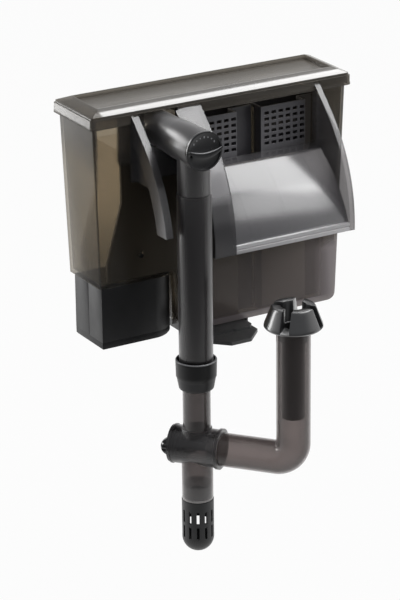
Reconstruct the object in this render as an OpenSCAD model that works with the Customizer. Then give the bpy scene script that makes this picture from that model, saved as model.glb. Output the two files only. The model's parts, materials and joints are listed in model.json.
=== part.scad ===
// Hang-on aquarium filter with a waterfall outlet and a surface skimmer.
// It hangs on the rim of a glass tank: the case stays outside, the hood bridges the rim,
// and the intake tube with the skimmer arm stands in the water.
// Working frame: X to the right, Y backwards from the case front, Z up from the lid line.
// The finished part is moved so that its origin is the middle of the rim seat.

/* [Case] */
// Width of the case at the lid line
case_w = 233.6; // [222:0.1:250]
// Depth of the case at the lid line, front to back
case_d = 57.6; // [55:0.1:70]
// Height of the pump chamber below the lid line
pump_chamber_h = 134.7; // [125:0.1:150]
// Width of the pump chamber
pump_chamber_w = 79; // [79:1:84]
// Height of the media chamber below the lid line
media_chamber_h = 187; // [180:1:205]
// Thickness of the moulded case walls
wall = 2.4; // [2:0.1:2.8]
// Plan radius of the case corners
corner_r = 2.2; // [2:0.1:6]
// Draft of the front and back walls, per millimetre
front_draft = 0.0205; // [0.01:0.0005:0.024]
// Draft of the end walls, per millimetre
end_draft = 0.031; // [0.02:0.001:0.034]
// Height of the case rim inside the lid
rim_h = 7.6; // [6:0.2:8]

/* [Lid] */
// How far the lid skirt stands out from the case
lid_over = 3.3; // [3:0.1:5]
// Height of the lid skirt
skirt_h = 8; // [8:0.5:10]
// Thickness of the lid skirt
skirt_t = 1.8; // [1.4:0.1:2.2]
// Width of the bevelled border
bevel_w = 9.6; // [7:0.2:13]
// Height of the shoulder below the border
shoulder_h = 2; // [1:0.2:3]
// Rise of the bevelled border
bevel_rise = 4; // [3:0.2:6]
// Depth of the recessed panel below the border
panel_drop = 3.6; // [2:0.2:4.2]

/* [Hood and waterfall] */
// Gap that takes the glass of the tank
slot_w = 12; // [10:0.5:16]
// Depth of the weir crest below the lid line
weir_depth = 45.2; // [40:0.1:50]
// Thickness of the hood and chute sheets
sheet = 3; // [2:0.1:3.2]
// Thickness of the hood webs
web = 2.4; // [2:0.1:3]
// Height of the hood's top edge above the lid line
hood_start_h = 7; // [5:0.1:7.2]
// Depth of the recess in the lid's skirt that takes the hood's top edge
hood_set = 2.4; // [1:0.1:2.6]
// Run of the straight slope at the top of the hood
ramp_run = 18.5; // [15:0.5:22]
// Radius of the hood curve
hood_r = 126; // [115:1:135]
// Drop of the hood below the end of its curve
hood_drop = 3.4; // [2:0.2:6]
// Width of the hood strip left of the intake
strip_w = 6.5; // [5.5:0.5:9]
// Height of the left strip's lower end above the hood's
strip_short = 24; // [10:1:40]
// Width of the hood plate right of the intake
plate_w = 19.5; // [16:0.5:24]
// Reach of the plate's top corner over the intake
plate_reach = 3.8; // [1:0.1:6]
// Distance of the right cheek from the right end of the case
hood_margin = 26.8; // [22:0.1:32]
// Width of the right cheek's flange
cheek_w = 4.8; // [4.4:0.1:9]
// Height of the rebate where the waterfall's shelf lies on the case's sill
sill_step = 0.8; // [0.4:0.1:1.4]
// Slope of the chute at its crest, in degrees
crest_slope = 32; // [28:0.2:42]
// Height of the band along the lip
lip_h = 7; // [5:0.5:9]

/* [Intake] */
// Distance of the intake axis from the left end of the case
intake_x = 60; // [58:1:62]
// Distance of the intake tube's axis in front of the case
intake_reach = 52; // [50:1:60]
// Depth of the barrel axis below the lid line
barrel_depth = 8.8; // [8:0.2:10]
// Outer radius of the barrel behind the sleeve
barrel_r = 14.3; // [13.8:0.1:15]
// Outer radius of the sleeve round the valve
sleeve_r = 15.6; // [15.4:0.1:15.8]
// Length of the sleeve
sleeve_l = 33; // [30:1:36]
// Bore radius of the barrel
barrel_bore = 12.6; // [12:0.1:12.9]
// Radius of the flow knob
knob_r = 15.9; // [15.9:0.1:17]
// Thickness of the flow knob
knob_t = 2.4; // [2:0.1:5]
// Height of the crescent grip
grip_h = 4; // [3:0.5:7]
// Outer radius of the main tube
tube_r = 13.7; // [13.4:0.1:14.4]
// Wall of the main tube
tube_wall = 1.45; // [1.2:0.05:1.8]
// Depth of the main tube's top end below the lid line
tube_top_depth = 47.3; // [44:0.1:52]
// Length of the main tube
tube_l = 156.7; // [140:0.1:170]
// Outer radius of the collar
collar_r = 16.7; // [16.2:0.1:18]
// Length of the straight part of the collar
collar_l = 14.4; // [12:0.2:20]
// Length of the collar's taper
collar_taper = 10.6; // [10:0.2:16]
// Outer radius of the extension tube
ext_r = 11.25; // [10.8:0.05:11.6]
// Wall of the extension tube
ext_wall = 1.3; // [1:0.1:1.8]
// Length of the extension tube
ext_l = 114; // [100:1:130]

/* [Skimmer] */
// Depth of the tee's axis below the lid line
tee_depth = 262.2; // [255:0.2:275]
// Outer radius of the tee barrel
tee_r = 15.6; // [15.4:0.1:17]
// Half length of the tee barrel
tee_half = 21.2; // [19:0.2:24]
// Heading of the skimmer arm in plan, in degrees from +X
arm_heading = -50.3; // [-80:0.1:-30]
// Distance from the tee's axis to the riser's axis
arm_reach = 81.4; // [70:0.2:95]
// Depth of the riser's top below the lid line
riser_top_depth = 151.6; // [145:0.2:165]
// Outer radius of the float tube
float_r = 9; // [7.5:0.1:10]
// Length of the float tube
float_l = 77; // [50:1:80]
// Largest radius of the crown
crown_r = 23.5; // [21:0.1:26]
// Radius of the crown at its top
crown_top_r = 17; // [15.5:0.1:19]
// Height of the crown
crown_h = 20.5; // [18:0.5:26]
// Width of the crown's slots
crown_slot = 7.4; // [5:0.2:9]
// Outer radius of the lower tube
lower_r = 12.7; // [12.4:0.1:13]
// Depth of the lower tube's end below the lid line
lower_end_depth = 307.6; // [295:0.2:320]
// Length of the strainer
strainer_l = 46; // [38:1:60]
// Number of slots round the strainer
strainer_slots = 12; // [8:1:16]

/* [Pump] */
// Width of the motor housing
motor_w = 71.4; // [70:0.2:72]
// Depth of the motor housing, front to back
motor_d = 45; // [44:0.5:46]
// Height of the motor housing with its cover
motor_h = 52; // [48:0.5:60]
// Height of the bottom cover's rim
cover_h = 5.9; // [4:0.1:8]
// Wall of the motor housing
motor_wall = 2.6; // [2:0.1:2.8]
// Inner radius of the rotor well
well_r = 10.6; // [10.2:0.1:11]
// Radius of the rotor magnet
rotor_r = 9.6; // [8.5:0.1:10]
// Radius of the pump shaft
shaft_r = 1.5; // [1:0.1:2]
// Radius of the impeller blades
impeller_r = 12.6; // [11:0.1:12.6]
// Number of impeller blades
blade_n = 6; // [4:1:8]
// Bore radius of the cable gland
gland_bore = 3.3; // [2.5:0.1:3.6]

/* [Media] */
// Room beside each media cassette at the bottom of its chamber
cassette_room = 7.7; // [7:0.1:9]
// Wall of a cassette
cassette_wall = 1.6; // [1.2:0.1:2]
// Depth of a cassette's top below the lid line
cassette_top = 9; // [8:0.5:12]
// Width of the grilled front box of a cassette
front_box_w = 42.2; // [40:0.2:46]
// How far the front box stands out of the cassette
front_box_d = 10.4; // [8:0.2:12]
// Number of grille slots each way
grille_n = 6; // [4:1:6]
// Width of a grille slot
grille_slot_w = 4.4; // [3:0.1:5]
// Height of a grille slot
grille_slot_h = 2.7; // [2:0.1:3.4]

/* [Foot] */
// Width of the levelling foot
foot_w = 48.6; // [40:0.2:56]
// Length of the levelling foot
foot_l = 50; // [46:1:50]
// How far the foot stands out of the case front
foot_out = 32.4; // [26:0.2:36]
// Chamfer of the foot's front corners
foot_chamfer = 15; // [10:0.5:18]
// Thickness of the foot's plate
foot_t = 3; // [2.4:0.1:4]
// Distance of the foot's middle from the media chamber's left wall
foot_inset = 37.5; // [34:0.5:60]

/* [Hidden] */
$fn = 64;
big_fn = 240;
eps = 0.01;
run = 0.05;
clear = 0.3;
over = 20;

// Places in the working frame
intake_y = -intake_reach;
barrel_z = -barrel_depth;
knob_face_y = intake_y - tube_r - 3.3;
sleeve_y0 = knob_face_y + knob_t + clear;
sleeve_y1 = sleeve_y0 + sleeve_l;
crest_z = -weir_depth;
seat_z = crest_z - sheet;
slot_y = -slot_w;
strip_gap = 5.3;
hood_x0 = intake_x - sleeve_r - strip_gap - strip_w;
strip_x1 = hood_x0 + strip_w;
plate_x0 = intake_x + sleeve_r + 0.4;
window_x0 = plate_x0 + plate_w;
hood_x1 = case_w - hood_margin;
window_x1 = hood_x1 - cheek_w;
window_w = window_x1 - window_x0;
seat_x = (hood_x0 + hood_x1) / 2;
seat_y = slot_y / 2;

// Hood curve: a 45 degree slope, an arc down to the vertical, and a short drop
hood_y0 = hood_set - lid_over - clear;
arc_y = hood_y0 - ramp_run;
arc_z = hood_start_h - ramp_run;
hood_cy = arc_y + hood_r * sin(45);
hood_cz = arc_z - hood_r * cos(45);
hood_front_y = hood_cy - hood_r;
hood_bottom_z = hood_cz - hood_drop;

// Chute curve: an arc from the crest to the top of the lip band
crest_y = slot_y + 0.6;
sill_y = -front_draft * seat_z - run;
shelf_y = wall - front_draft * seat_z;
lip_y = hood_front_y + 0.8;
lip_z = hood_bottom_z + lip_h - 3;
chute_fall = crest_z - lip_z;
chute_run = crest_y - lip_y;
chute_chord = sqrt(chute_fall * chute_fall + chute_run * chute_run);
chute_turn = 2 * (atan2(chute_fall, chute_run) - crest_slope);
chute_r = chute_chord / (2 * sin(chute_turn / 2));
chute_cy = crest_y + chute_r * sin(crest_slope);
chute_cz = crest_z - chute_r * cos(crest_slope);

// Chambers
divider_x = pump_chamber_w;
media_x0 = divider_x + wall;
media_inset = front_draft * media_chamber_h;
pump_inset = front_draft * pump_chamber_h;
media_left_draft = front_draft * 0.65;
pump_floor_z = -pump_chamber_h + wall;
media_floor_z = -media_chamber_h + wall;

// Pump, on the intake's line
motor_x1 = intake_x + 17;
motor_x0 = motor_x1 - motor_w;
motor_y0 = pump_inset + 0.3;
pump_y = motor_y0 + motor_d / 2;
motor_top_z = -pump_chamber_h;
motor_bottom_z = motor_top_z - motor_h;
cover_z = motor_bottom_z + cover_h;
well_wall = 1.8;
well_floor_z = cover_z + 6;
core_z = (motor_top_z + cover_z) / 2 - 1;
core_h = 16;
core_leg = 10;
core_gap = 7;
core_x0 = motor_x0 + motor_wall + core_gap;
core_half = well_r + well_wall + 3.4;
coil_pad = 5.6;
volute_r = impeller_r + 3;
volute_wall = 1.8;
volute_h = 17;
volute_top_z = pump_floor_z + volute_h;
pipe_r = 12.2;
pipe_bore = 10;
pipe_bottom_z = volute_top_z + clear;
pipe_joint_y = 12;
shaft_seat_z = well_floor_z + 1;
shaft_top_z = volute_top_z - 1;
rotor_h = 26;
rotor_z = shaft_seat_z + 5;
impeller_h = 9;
impeller_z = pump_floor_z + 2;
screw_inset = 6.4;
screw_span = 34.1;
screw_x = [motor_x0 + screw_inset, motor_x0 + screw_inset + screw_span];
screw_dy = motor_d / 2 - 5.2;
boss_top_z = core_z - core_h / 2 - 1;
screw_r = 1.5;
gasket_r = 17;
gasket_t = 1.2;
shroud_wall = 1.6;
shroud_x0 = 27;
shroud_flare = 14;
floor_r = 8;
gland_r = 4.8;

// Intake and skimmer
sleeve_fade = 16;
tube_top_z = -tube_top_depth;
tube_bottom_z = tube_top_z - tube_l;
tube_bore = tube_r - tube_wall;
leg_r = tube_r - 0.6;
spigot_r = tube_bore - run;
spigot_l = 22;
collar_top_z = tube_bottom_z + collar_l + 3.6;
collar_mid_z = collar_top_z - collar_l;
collar_bottom_z = collar_mid_z - collar_taper;
seal_t = 4.4;
tee_z = -tee_depth;
ext_bottom_z = tee_z + 8.2;
riser_top_z = -riser_top_depth;
riser_x = intake_x + arm_reach * cos(arm_heading);
riser_y = intake_y + arm_reach * sin(arm_heading);
bend_r = tube_r + 0.6;
arm_start = lower_r + clear;
crown_z = riser_top_z + clear;
lower_end_z = -lower_end_depth;
lower_wall = 1.4;
tee_knob_r = tee_r - 0.3;
tee_back = tee_half - 1.6;

// Media
media_lean = (end_draft - media_left_draft) * media_chamber_h;
media_mid_x = (media_x0 + case_w - wall - media_lean / 2) / 2;
media_w = case_w - media_x0 - wall - (end_draft + media_left_draft) * media_chamber_h;
cassette_w = (media_w - wall) / 2 - cassette_room;
cassette_clear = 0.35;
cassette_y0 = wall + media_inset + cassette_clear;
cassette_y1 = cassette_y0 + front_box_d;
cassette_y2 = case_d - wall - media_inset - cassette_clear;
cassette_z0 = media_floor_z + clear;
cassette_z1 = -cassette_top;
foam_head = 24;
carbon_head = 60;
left_cassette_x = media_mid_x - wall / 2 - cassette_clear - cassette_w;
right_cassette_x = media_mid_x + wall / 2 + cassette_clear;
grille_inset = 4.2;
grille_pitch_x = (front_box_w - 2 * grille_inset) / (grille_n - 1);
grille_pitch_z = grille_slot_h + 2.4;

// Foot
foot_x = divider_x + foot_inset;
foot_front_y = media_inset - foot_out;
foot_step = 20;
foot_top_z = -media_chamber_h - 1.1;
foot_layer = 2.4;
foot_bottom_z = foot_top_z - foot_layer - foot_t;
rail_wall = 2;
rail_lip = 2.2;

// ---- Shared shapes ----

// Moves the working frame's parts so that the rim seat is the origin
module in_frame() {
    translate([-seat_x, -seat_y, -seat_z]) children();
}

// Rounded rectangle in plan
module plan(x0, x1, y0, y1, r) {
    translate([x0 + r, y0 + r])
        offset(r = r, $fn = 24) square([x1 - x0 - 2 * r, y1 - y0 - 2 * r]);
}

// Thin rounded slab at height z
module slab(x0, x1, y0, y1, z, r) {
    translate([0, 0, z]) linear_extrude(eps) plan(x0, x1, y0, y1, r);
}

// Points of an arc in a profile
function arc(cu, cv, r, a0, a1, n) = [
    for (i = [0 : n]) [
        cu + r * cos(a0 + (a1 - a0) * i / n),
        cv + r * sin(a0 + (a1 - a0) * i / n)
    ]
];

// Front outline of the case in X and Z, pulled in by t, up to the height top
module case_front(t, top) {
    pump_x = end_draft * pump_chamber_h;
    foot_x0 = divider_x + media_left_draft * media_chamber_h;
    foot_x1 = case_w - end_draft * media_chamber_h;
    join = t > 0 ? 0 : 1;
    polygon([
        [t, top], [t, 0], [pump_x + t, t - pump_chamber_h],
        [divider_x + join, t - pump_chamber_h], [divider_x + join, top]
    ]);
    polygon(concat(
        [[divider_x + t, top], [divider_x + t, -pump_chamber_h]],
        arc(foot_x0 + floor_r, floor_r - media_chamber_h, floor_r - t, 180, 270, 5),
        arc(foot_x1 - floor_r, floor_r - media_chamber_h, floor_r - t, 270, 360, 5),
        [[case_w - t, 0], [case_w - t, top]]
    ));
}

// Side outline of the case in Y and Z, pulled in by t
module case_side(t, top) {
    foot_y = front_draft * media_chamber_h;
    polygon([
        [t, top], [t, 0], [foot_y + t, t - media_chamber_h],
        [case_d - foot_y - t, t - media_chamber_h], [case_d - t, 0], [case_d - t, top]
    ]);
}

// Solid of the case, pulled in by t, with drafted walls
module case_block(t, top) {
    intersection() {
        translate([0, case_d + 1, 0]) rotate([90, 0, 0])
            linear_extrude(case_d + 2) case_front(t, top);
        along_x(-1, case_w + 1) case_side(t, top);
    }
}

// Cutter that rounds one upright corner below z1 and leans with the two drafts
module corner_cut(x, y, sx, sy, lean_x, z1) {
    r = corner_r;
    translate([x, y, 0]) rotate([sy * atan(front_draft), -sx * atan(lean_x), 0])
        translate([0, 0, -media_chamber_h - over]) linear_extrude(media_chamber_h + over + z1)
            difference() {
                translate([sx > 0 ? -1 : -r + 0.1, sy > 0 ? -1 : -r + 0.1])
                    square([r + 0.9, r + 0.9]);
                translate([sx * r, sy * r]) circle(r = r, $fn = 12);
            }
}

// Extrudes a profile drawn in Y and Z along X
module along_x(x0, x1) {
    translate([x0, 0, 0]) rotate([90, 0, 90]) linear_extrude(x1 - x0) children();
}

// Cylinder along Y
module rod_y(r, x, y0, y1, z) {
    translate([x, y0, z]) rotate([-90, 0, 0]) cylinder(r = r, h = y1 - y0);
}

// Upright tube or rod
module rod_z(r, x, y, z0, z1) {
    translate([x, y, z0]) cylinder(r = r, h = z1 - z0);
}

// Ring round an upright axis
module ring_z(r, bore, x, y, z0, z1) {
    difference() {
        rod_z(r, x, y, z0, z1);
        rod_z(bore, x, y, z0 - 1, z1 + 1);
    }
}

// Frame of the tee: its X runs along the skimmer arm
module tee_frame() {
    translate([intake_x, intake_y, tee_z]) rotate([0, 0, arm_heading]) children();
}

// Cylinder along the tee's axis
module rod_tee(r, s0, s1) {
    translate([s0, 0, 0]) rotate([0, 90, 0]) cylinder(r = r, h = s1 - s0);
}

// ---- Case and lid ----

module barrel_cut(r, y0, y1) {
    rod_y(r, intake_x, y0, y1, barrel_z);
    translate([intake_x - r, y0, barrel_z]) cube([2 * r, y1 - y0, over + barrel_depth]);
}

module media_guides() {
    rib = 2;
    for (y = [cassette_y1 + 4, cassette_y2 - 6]) {
        translate([divider_x + 1, y, media_floor_z - 1])
            cube([left_cassette_x - cassette_clear - divider_x - 1, rib, -media_floor_z - 10]);
        translate([right_cassette_x + cassette_w + cassette_clear, y, media_floor_z - 1])
            cube([case_w - wall / 2 - end_draft * media_chamber_h - right_cassette_x
                - cassette_w - cassette_clear, rib, -media_floor_z - 10]);
    }
    translate([media_mid_x - wall / 2, cassette_y1, media_floor_z - 1])
        cube([wall, case_d - wall / 2 - cassette_y1 - media_inset, -media_floor_z - 10]);
}

module filter_case() {
    port_w = 24;
    port_h = 14;
    color("#5b5348") in_frame() {
        difference() {
            case_block(0, rim_h);
            case_block(wall, rim_h + over);
            for (s = [1, -1]) {
                y = s > 0 ? 0 : case_d;
                corner_cut(0, y, 1, s, end_draft, rim_h + 1);
                corner_cut(case_w, y, -1, s, end_draft, rim_h + 1);
                corner_cut(divider_x, y, 1, s, media_left_draft, -pump_chamber_h);
            }
            translate([window_x0, -1, seat_z + sill_step])
                cube([window_w, wall + 3, -seat_z - sill_step - 1]);
            // The divider ends at the lid line, below the lid's locating rib
            translate([divider_x - 1, wall, 0]) cube([wall + 2, case_d - 2 * wall, over]);
            barrel_cut(barrel_r + 0.4, -1, wall + 1);
            rod_z(well_r + 0.9, intake_x, pump_y, -pump_chamber_h - 1, pump_floor_z + 1);
            translate([divider_x - 1, pump_y - port_w / 2, pump_floor_z + volute_h + 6])
                cube([2 * wall + 6, port_w, port_h]);
        }
        media_guides();
    }
}

module lid() {
    x0 = -lid_over;
    x1 = case_w + lid_over;
    y1 = case_d + lid_over;
    step = 1.2;
    top_z = skirt_h + shoulder_h + bevel_rise;
    border = step + bevel_w;
    rib_in = wall + clear;
    rib_t = 1.4;
    color("#4a453f") in_frame() difference() {
        union() {
            difference() {
                union() {
                    linear_extrude(1.8) plan(x0 - 0.3, x1 + 0.3, x0 - 0.3, y1 + 0.3, 3);
                    linear_extrude(skirt_h) plan(x0, x1, x0, y1, 2.7);
                    linear_extrude(skirt_h + shoulder_h)
                        plan(x0 + step, x1 - step, x0 + step, y1 - step, 1.8);
                    hull() {
                        slab(x0 + step, x1 - step, x0 + step, y1 - step,
                            skirt_h + shoulder_h, 1.8);
                        slab(x0 + border, x1 - border, x0 + border, y1 - border, top_z - eps, 1);
                    }
                }
                translate([0, 0, -1]) linear_extrude(rim_h + clear + 1)
                    plan(x0 + skirt_t, x1 - skirt_t, x0 + skirt_t, y1 - skirt_t, 1.2);
                translate([0, 0, top_z - panel_drop]) linear_extrude(over)
                    plan(x0 + border + 0.8, x1 - border - 0.8,
                        x0 + border + 0.8, y1 - border - 0.8, 0.8);
            }
            translate([0, 0, rim_h - 3]) linear_extrude(3 + 2 * clear) difference() {
                plan(rib_in, case_w - rib_in, rib_in, case_d - rib_in, 1);
                plan(rib_in + rib_t, case_w - rib_in - rib_t,
                    rib_in + rib_t, case_d - rib_in - rib_t, 0.8);
            }
        }
        rod_y(barrel_r + 0.8, intake_x, -over, rib_in + rib_t + 1, barrel_z);
        translate([window_x0, 0, rim_h - 4]) cube([window_w, rib_in + rib_t + 1, 4 + clear]);
        // Recesses for the hood's top edge
        for (span = [[hood_x0, window_x0], [window_x1, hood_x1]])
            translate([span[0] - clear, -over, -1])
                cube([span[1] - span[0] + 2 * clear, over + hood_y0 + clear, hood_start_h + 1 + clear]);
    }
}

// ---- Hood and waterfall ----

// Everything behind the hood's outer curve, pulled in by inset, in Y and Z
module behind_curve(inset) {
    shift = inset * sin(45);
    translate([hood_cy, hood_cz]) circle(r = hood_r - inset, $fn = big_fn);
    polygon([
        [hood_y0 + over + shift, hood_start_h + over - shift],
        [arc_y + shift, arc_z - shift],
        [hood_cy, hood_cz],
        [hood_cy, hood_start_h + over]
    ]);
    translate([hood_front_y + inset, hood_bottom_z - 1])
        square([hood_r, hood_cz - hood_bottom_z + 1]);
}

// Outline of a cheek: behind the curve, in front of the glass slot and the lid
module cheek_profile(bottom_z) {
    intersection() {
        behind_curve(0);
        difference() {
            translate([hood_front_y - 1, bottom_z])
                square([-hood_front_y + 1, hood_start_h - bottom_z]);
            translate([slot_y, bottom_z - 1]) square([over + slot_w, seat_z - bottom_z + 1]);
            translate([hood_y0, -clear]) square([over, over]);
        }
    }
}

// Band of a cheek's outline, depth deep behind the hood's curve
module hood_band(bottom_z, depth) {
    difference() {
        cheek_profile(bottom_z);
        behind_curve(depth);
    }
}

// A strip of the hood: its curved sheet with a web along its right edge
module hood_strip(x0, x1, bottom_z) {
    along_x(x0, x1) hood_band(bottom_z, sheet);
    along_x(x1 - web, x1) cheek_profile(bottom_z);
}

// Plate against the case front between x0 and x1
module back_plate(x0, x1) {
    along_x(x0, x1) polygon([
        [-web, seat_z], [-web, -clear], [0, -clear], [0, 0], [-front_draft * seat_z, seat_z]
    ]);
}

module hood_left() {
    bead = 1.1;
    rim_t = 1.6;
    rim_d = 14;
    top_z = hood_start_h;
    corner_x = plate_x0 - plate_reach;
    low_z = hood_bottom_z + strip_short;
    color("#3a3a3d") in_frame() {
        difference() {
            union() {
                along_x(hood_x0, strip_x1) hood_band(low_z, sheet);
                along_x(hood_x0, hood_x0 + rim_t) hood_band(low_z, rim_d);
                along_x(strip_x1 - web, strip_x1) {
                    hood_band(low_z, rim_d);
                    cheek_profile(seat_z);
                }
                // Corner of the plate over the intake
                along_x(corner_x, plate_x0 + 1) hood_band(barrel_z, sheet);
                along_x(corner_x, corner_x + web) cheek_profile(barrel_z);
                hood_strip(plate_x0, window_x0, hood_bottom_z);
                along_x(plate_x0, plate_x0 + web) cheek_profile(hood_bottom_z);
                back_plate(hood_x0, window_x0);
            }
            barrel_cut(barrel_r + 0.5, -web - 1, 1);
            rod_y(sleeve_r + 0.4, intake_x, -over, -web, barrel_z);
        }
        // Raised bead along the left edge of the left strip
        along_x(hood_x0, hood_x0 + bead) intersection() {
            difference() {
                behind_curve(-0.7);
                behind_curve(sheet / 2);
            }
            translate([hood_front_y - 1, low_z]) square([hood_y0 - hood_front_y + 1, top_z - low_z]);
        }
    }
}

module hood_right() {
    color("#3a3a3d") in_frame() {
        along_x(window_x1, hood_x1) hood_band(hood_bottom_z, sheet);
        along_x(window_x1, window_x1 + web) cheek_profile(hood_bottom_z);
        back_plate(window_x1, hood_x1);
    }
}

// Section through the chute: shelf over the rim, curved apron and banded lip
module chute_profile() {
    groove = 0.6;
    difference() {
        union() {
            translate([crest_y, seat_z]) square([shelf_y - crest_y, sheet]);
            intersection() {
                difference() {
                    translate([chute_cy, chute_cz]) circle(r = chute_r, $fn = big_fn);
                    translate([chute_cy, chute_cz]) circle(r = chute_r - sheet, $fn = big_fn);
                }
                translate([hood_front_y, hood_bottom_z])
                    square([crest_y - hood_front_y + eps, crest_z - hood_bottom_z]);
            }
            translate([hood_front_y, hood_bottom_z]) square([sheet, lip_h]);
        }
        translate([hood_front_y, hood_bottom_z + lip_h / 2]) circle(r = groove, $fn = 12);
        translate([slot_y, seat_z - over]) square([over + slot_w, over]);
        translate([sill_y, seat_z - 1]) square([over, 1 + sill_step + run]);
    }
}

// Outline of a hook rib under the apron
module hook_rib_profile() {
    intersection() {
        translate([chute_cy, chute_cz]) circle(r = chute_r - sheet / 2, $fn = big_fn);
        translate([hood_front_y, hood_bottom_z + lip_h])
            square([slot_y - hood_front_y, seat_z - hood_bottom_z - lip_h + sheet / 2]);
    }
}

module waterfall_chute() {
    rib = 2;
    rib_n = 3;
    color("#77747a") in_frame() {
        along_x(window_x0, window_x1) chute_profile();
        for (i = [0 : rib_n - 1]) {
            x = window_x0 + (i + 0.5) * window_w / rib_n - rib / 2;
            along_x(x, x + rib) hook_rib_profile();
        }
    }
}

// ---- Intake ----

module intake_elbow() {
    color("#3c3a3d") in_frame() difference() {
        union() {
            rod_y(sleeve_r, intake_x, sleeve_y0, sleeve_y1, barrel_z);
            translate([intake_x, sleeve_y1, barrel_z]) rotate([-90, 0, 0])
                cylinder(r1 = sleeve_r, r2 = barrel_r, h = sleeve_fade);
            rod_y(barrel_r, intake_x, sleeve_y1 + sleeve_fade - 1, pipe_joint_y, barrel_z);
            rod_z(leg_r, intake_x, intake_y, tube_top_z, barrel_z);
            rod_z(spigot_r, intake_x, intake_y, tube_top_z - spigot_l, barrel_z);
        }
        rod_y(barrel_bore, intake_x, sleeve_y0 + 2, pipe_joint_y + 1, barrel_z);
        rod_y(barrel_bore + 0.8, intake_x, sleeve_y0 - 1, sleeve_y1 - 7, barrel_z);
        rod_y(sleeve_r - 1.2, intake_x, sleeve_y0 - 1, sleeve_y0 + 2.4, barrel_z);
        rod_z(spigot_r - 1.8, intake_x, intake_y, tube_top_z - spigot_l - 1, barrel_z);
    }
}

module suction_pipe() {
    overlap = 9;
    color("#2c2b2c") in_frame() difference() {
        union() {
            rod_y(barrel_r, intake_x, pipe_joint_y, pump_y, barrel_z);
            rod_y(barrel_bore - run, intake_x, pipe_joint_y - overlap, pump_y, barrel_z);
            translate([intake_x, pump_y, barrel_z]) sphere(r = barrel_r);
            rod_z(pipe_r, intake_x, pump_y, pipe_bottom_z, barrel_z);
        }
        rod_y(pipe_bore, intake_x, pipe_joint_y - overlap - 1, pump_y, barrel_z);
        rod_z(pipe_bore, intake_x, pump_y, pipe_bottom_z - 1, barrel_z);
    }
}

// Crescent of the finger grip, drawn on the knob's face
module crescent(r) {
    rise = r * 0.32;
    intersection() {
        difference() {
            translate([0, r * 1.25 - rise]) circle(r = r * 1.25, $fn = 96);
            translate([0, r * 2.1 - rise * 0.25]) circle(r = r * 2.1 - 0.2, $fn = 96);
        }
        circle(r = r - 0.8);
    }
}

module flow_knob() {
    rim = 1.5;
    dish = 1.2;
    hub_r = barrel_bore - 2.4;
    color("#2a292c") in_frame() {
        difference() {
            union() {
                rod_y(knob_r, intake_x, knob_face_y, knob_face_y + knob_t, barrel_z);
                rod_y(hub_r, intake_x, knob_face_y + 1, sleeve_y0 + 3, barrel_z);
            }
            rod_y(knob_r - rim, intake_x, knob_face_y - 1, knob_face_y + dish, barrel_z);
            // Two small nicks that mark the grip's closed side
            for (a = [-1, 1])
                translate([intake_x + a * (knob_r - 4.4), knob_face_y, barrel_z - 2.6])
                    rotate([-90, 0, 0]) cylinder(r = 1, h = dish + 1.4);
        }
        translate([intake_x, knob_face_y + dish, barrel_z]) rotate([90, 0, 0])
            linear_extrude(grip_h) crescent(knob_r);
    }
}

module flow_valve_drum() {
    r = barrel_bore + 0.8 - run;
    y0 = sleeve_y0 + 2.6;
    y1 = sleeve_y1 - 7.5;
    hub_r = barrel_bore - 2.4;
    color("#1f1f21") in_frame() difference() {
        rod_y(r, intake_x, y0, y1, barrel_z);
        rod_y(r - 1.6, intake_x, y0 + 2.4, y1 + 1, barrel_z);
        rod_y(hub_r, intake_x, y0 - 1, y0 + 3, barrel_z);
        // Window that opens the drum to the leg below
        translate([intake_x - r, y0 + 4, barrel_z - r - 1])
            cube([2 * r, y1 - y0 - 7, r + 1 - 4]);
    }
}

module knob_seal() {
    color("#111111") in_frame() difference() {
        rod_y(sleeve_r - 1.2 - run, intake_x, sleeve_y0, sleeve_y0 + 2.2, barrel_z);
        rod_y(barrel_bore - 2.4 + run, intake_x, sleeve_y0 - 1, sleeve_y0 + 4, barrel_z);
    }
}

module main_tube() {
    color("#454145") in_frame()
        ring_z(tube_r, tube_bore, intake_x, intake_y, tube_bottom_z, tube_top_z - run);
}

module tube_collar() {
    end_r = ext_r + 2.4;
    mouth = 4.2;
    color("#1d1d1f") in_frame() translate([intake_x, intake_y, 0]) rotate_extrude()
        difference() {
            polygon([
                [0, collar_top_z], [collar_r - 0.6, collar_top_z],
                [collar_r, collar_top_z - 0.6], [collar_r - 0.4, collar_mid_z],
                [collar_r - 0.9, collar_mid_z - 0.8],
                [end_r + 0.5, collar_bottom_z + 0.7], [end_r, collar_bottom_z],
                [0, collar_bottom_z]
            ]);
            translate([0, collar_top_z - mouth]) square([collar_r - 1.4, mouth + 1]);
            translate([0, tube_bottom_z - run]) square([tube_r + run, collar_l + over]);
            translate([0, tube_bottom_z - seal_t - 2 * run]) square([tube_bore, seal_t + 1]);
            translate([0, collar_bottom_z - 1]) square([ext_r + 0.35, collar_l + over]);
        }
}

module collar_seal() {
    color("#0d0d0e") in_frame() ring_z(tube_bore - run, ext_r + run, intake_x, intake_y,
        tube_bottom_z - seal_t - run, tube_bottom_z - run);
}

module extension_tube() {
    color("#4c464b") in_frame() ring_z(ext_r, ext_r - ext_wall, intake_x, intake_y,
        ext_bottom_z + run, ext_bottom_z + ext_l);
}

// ---- Skimmer ----

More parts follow.
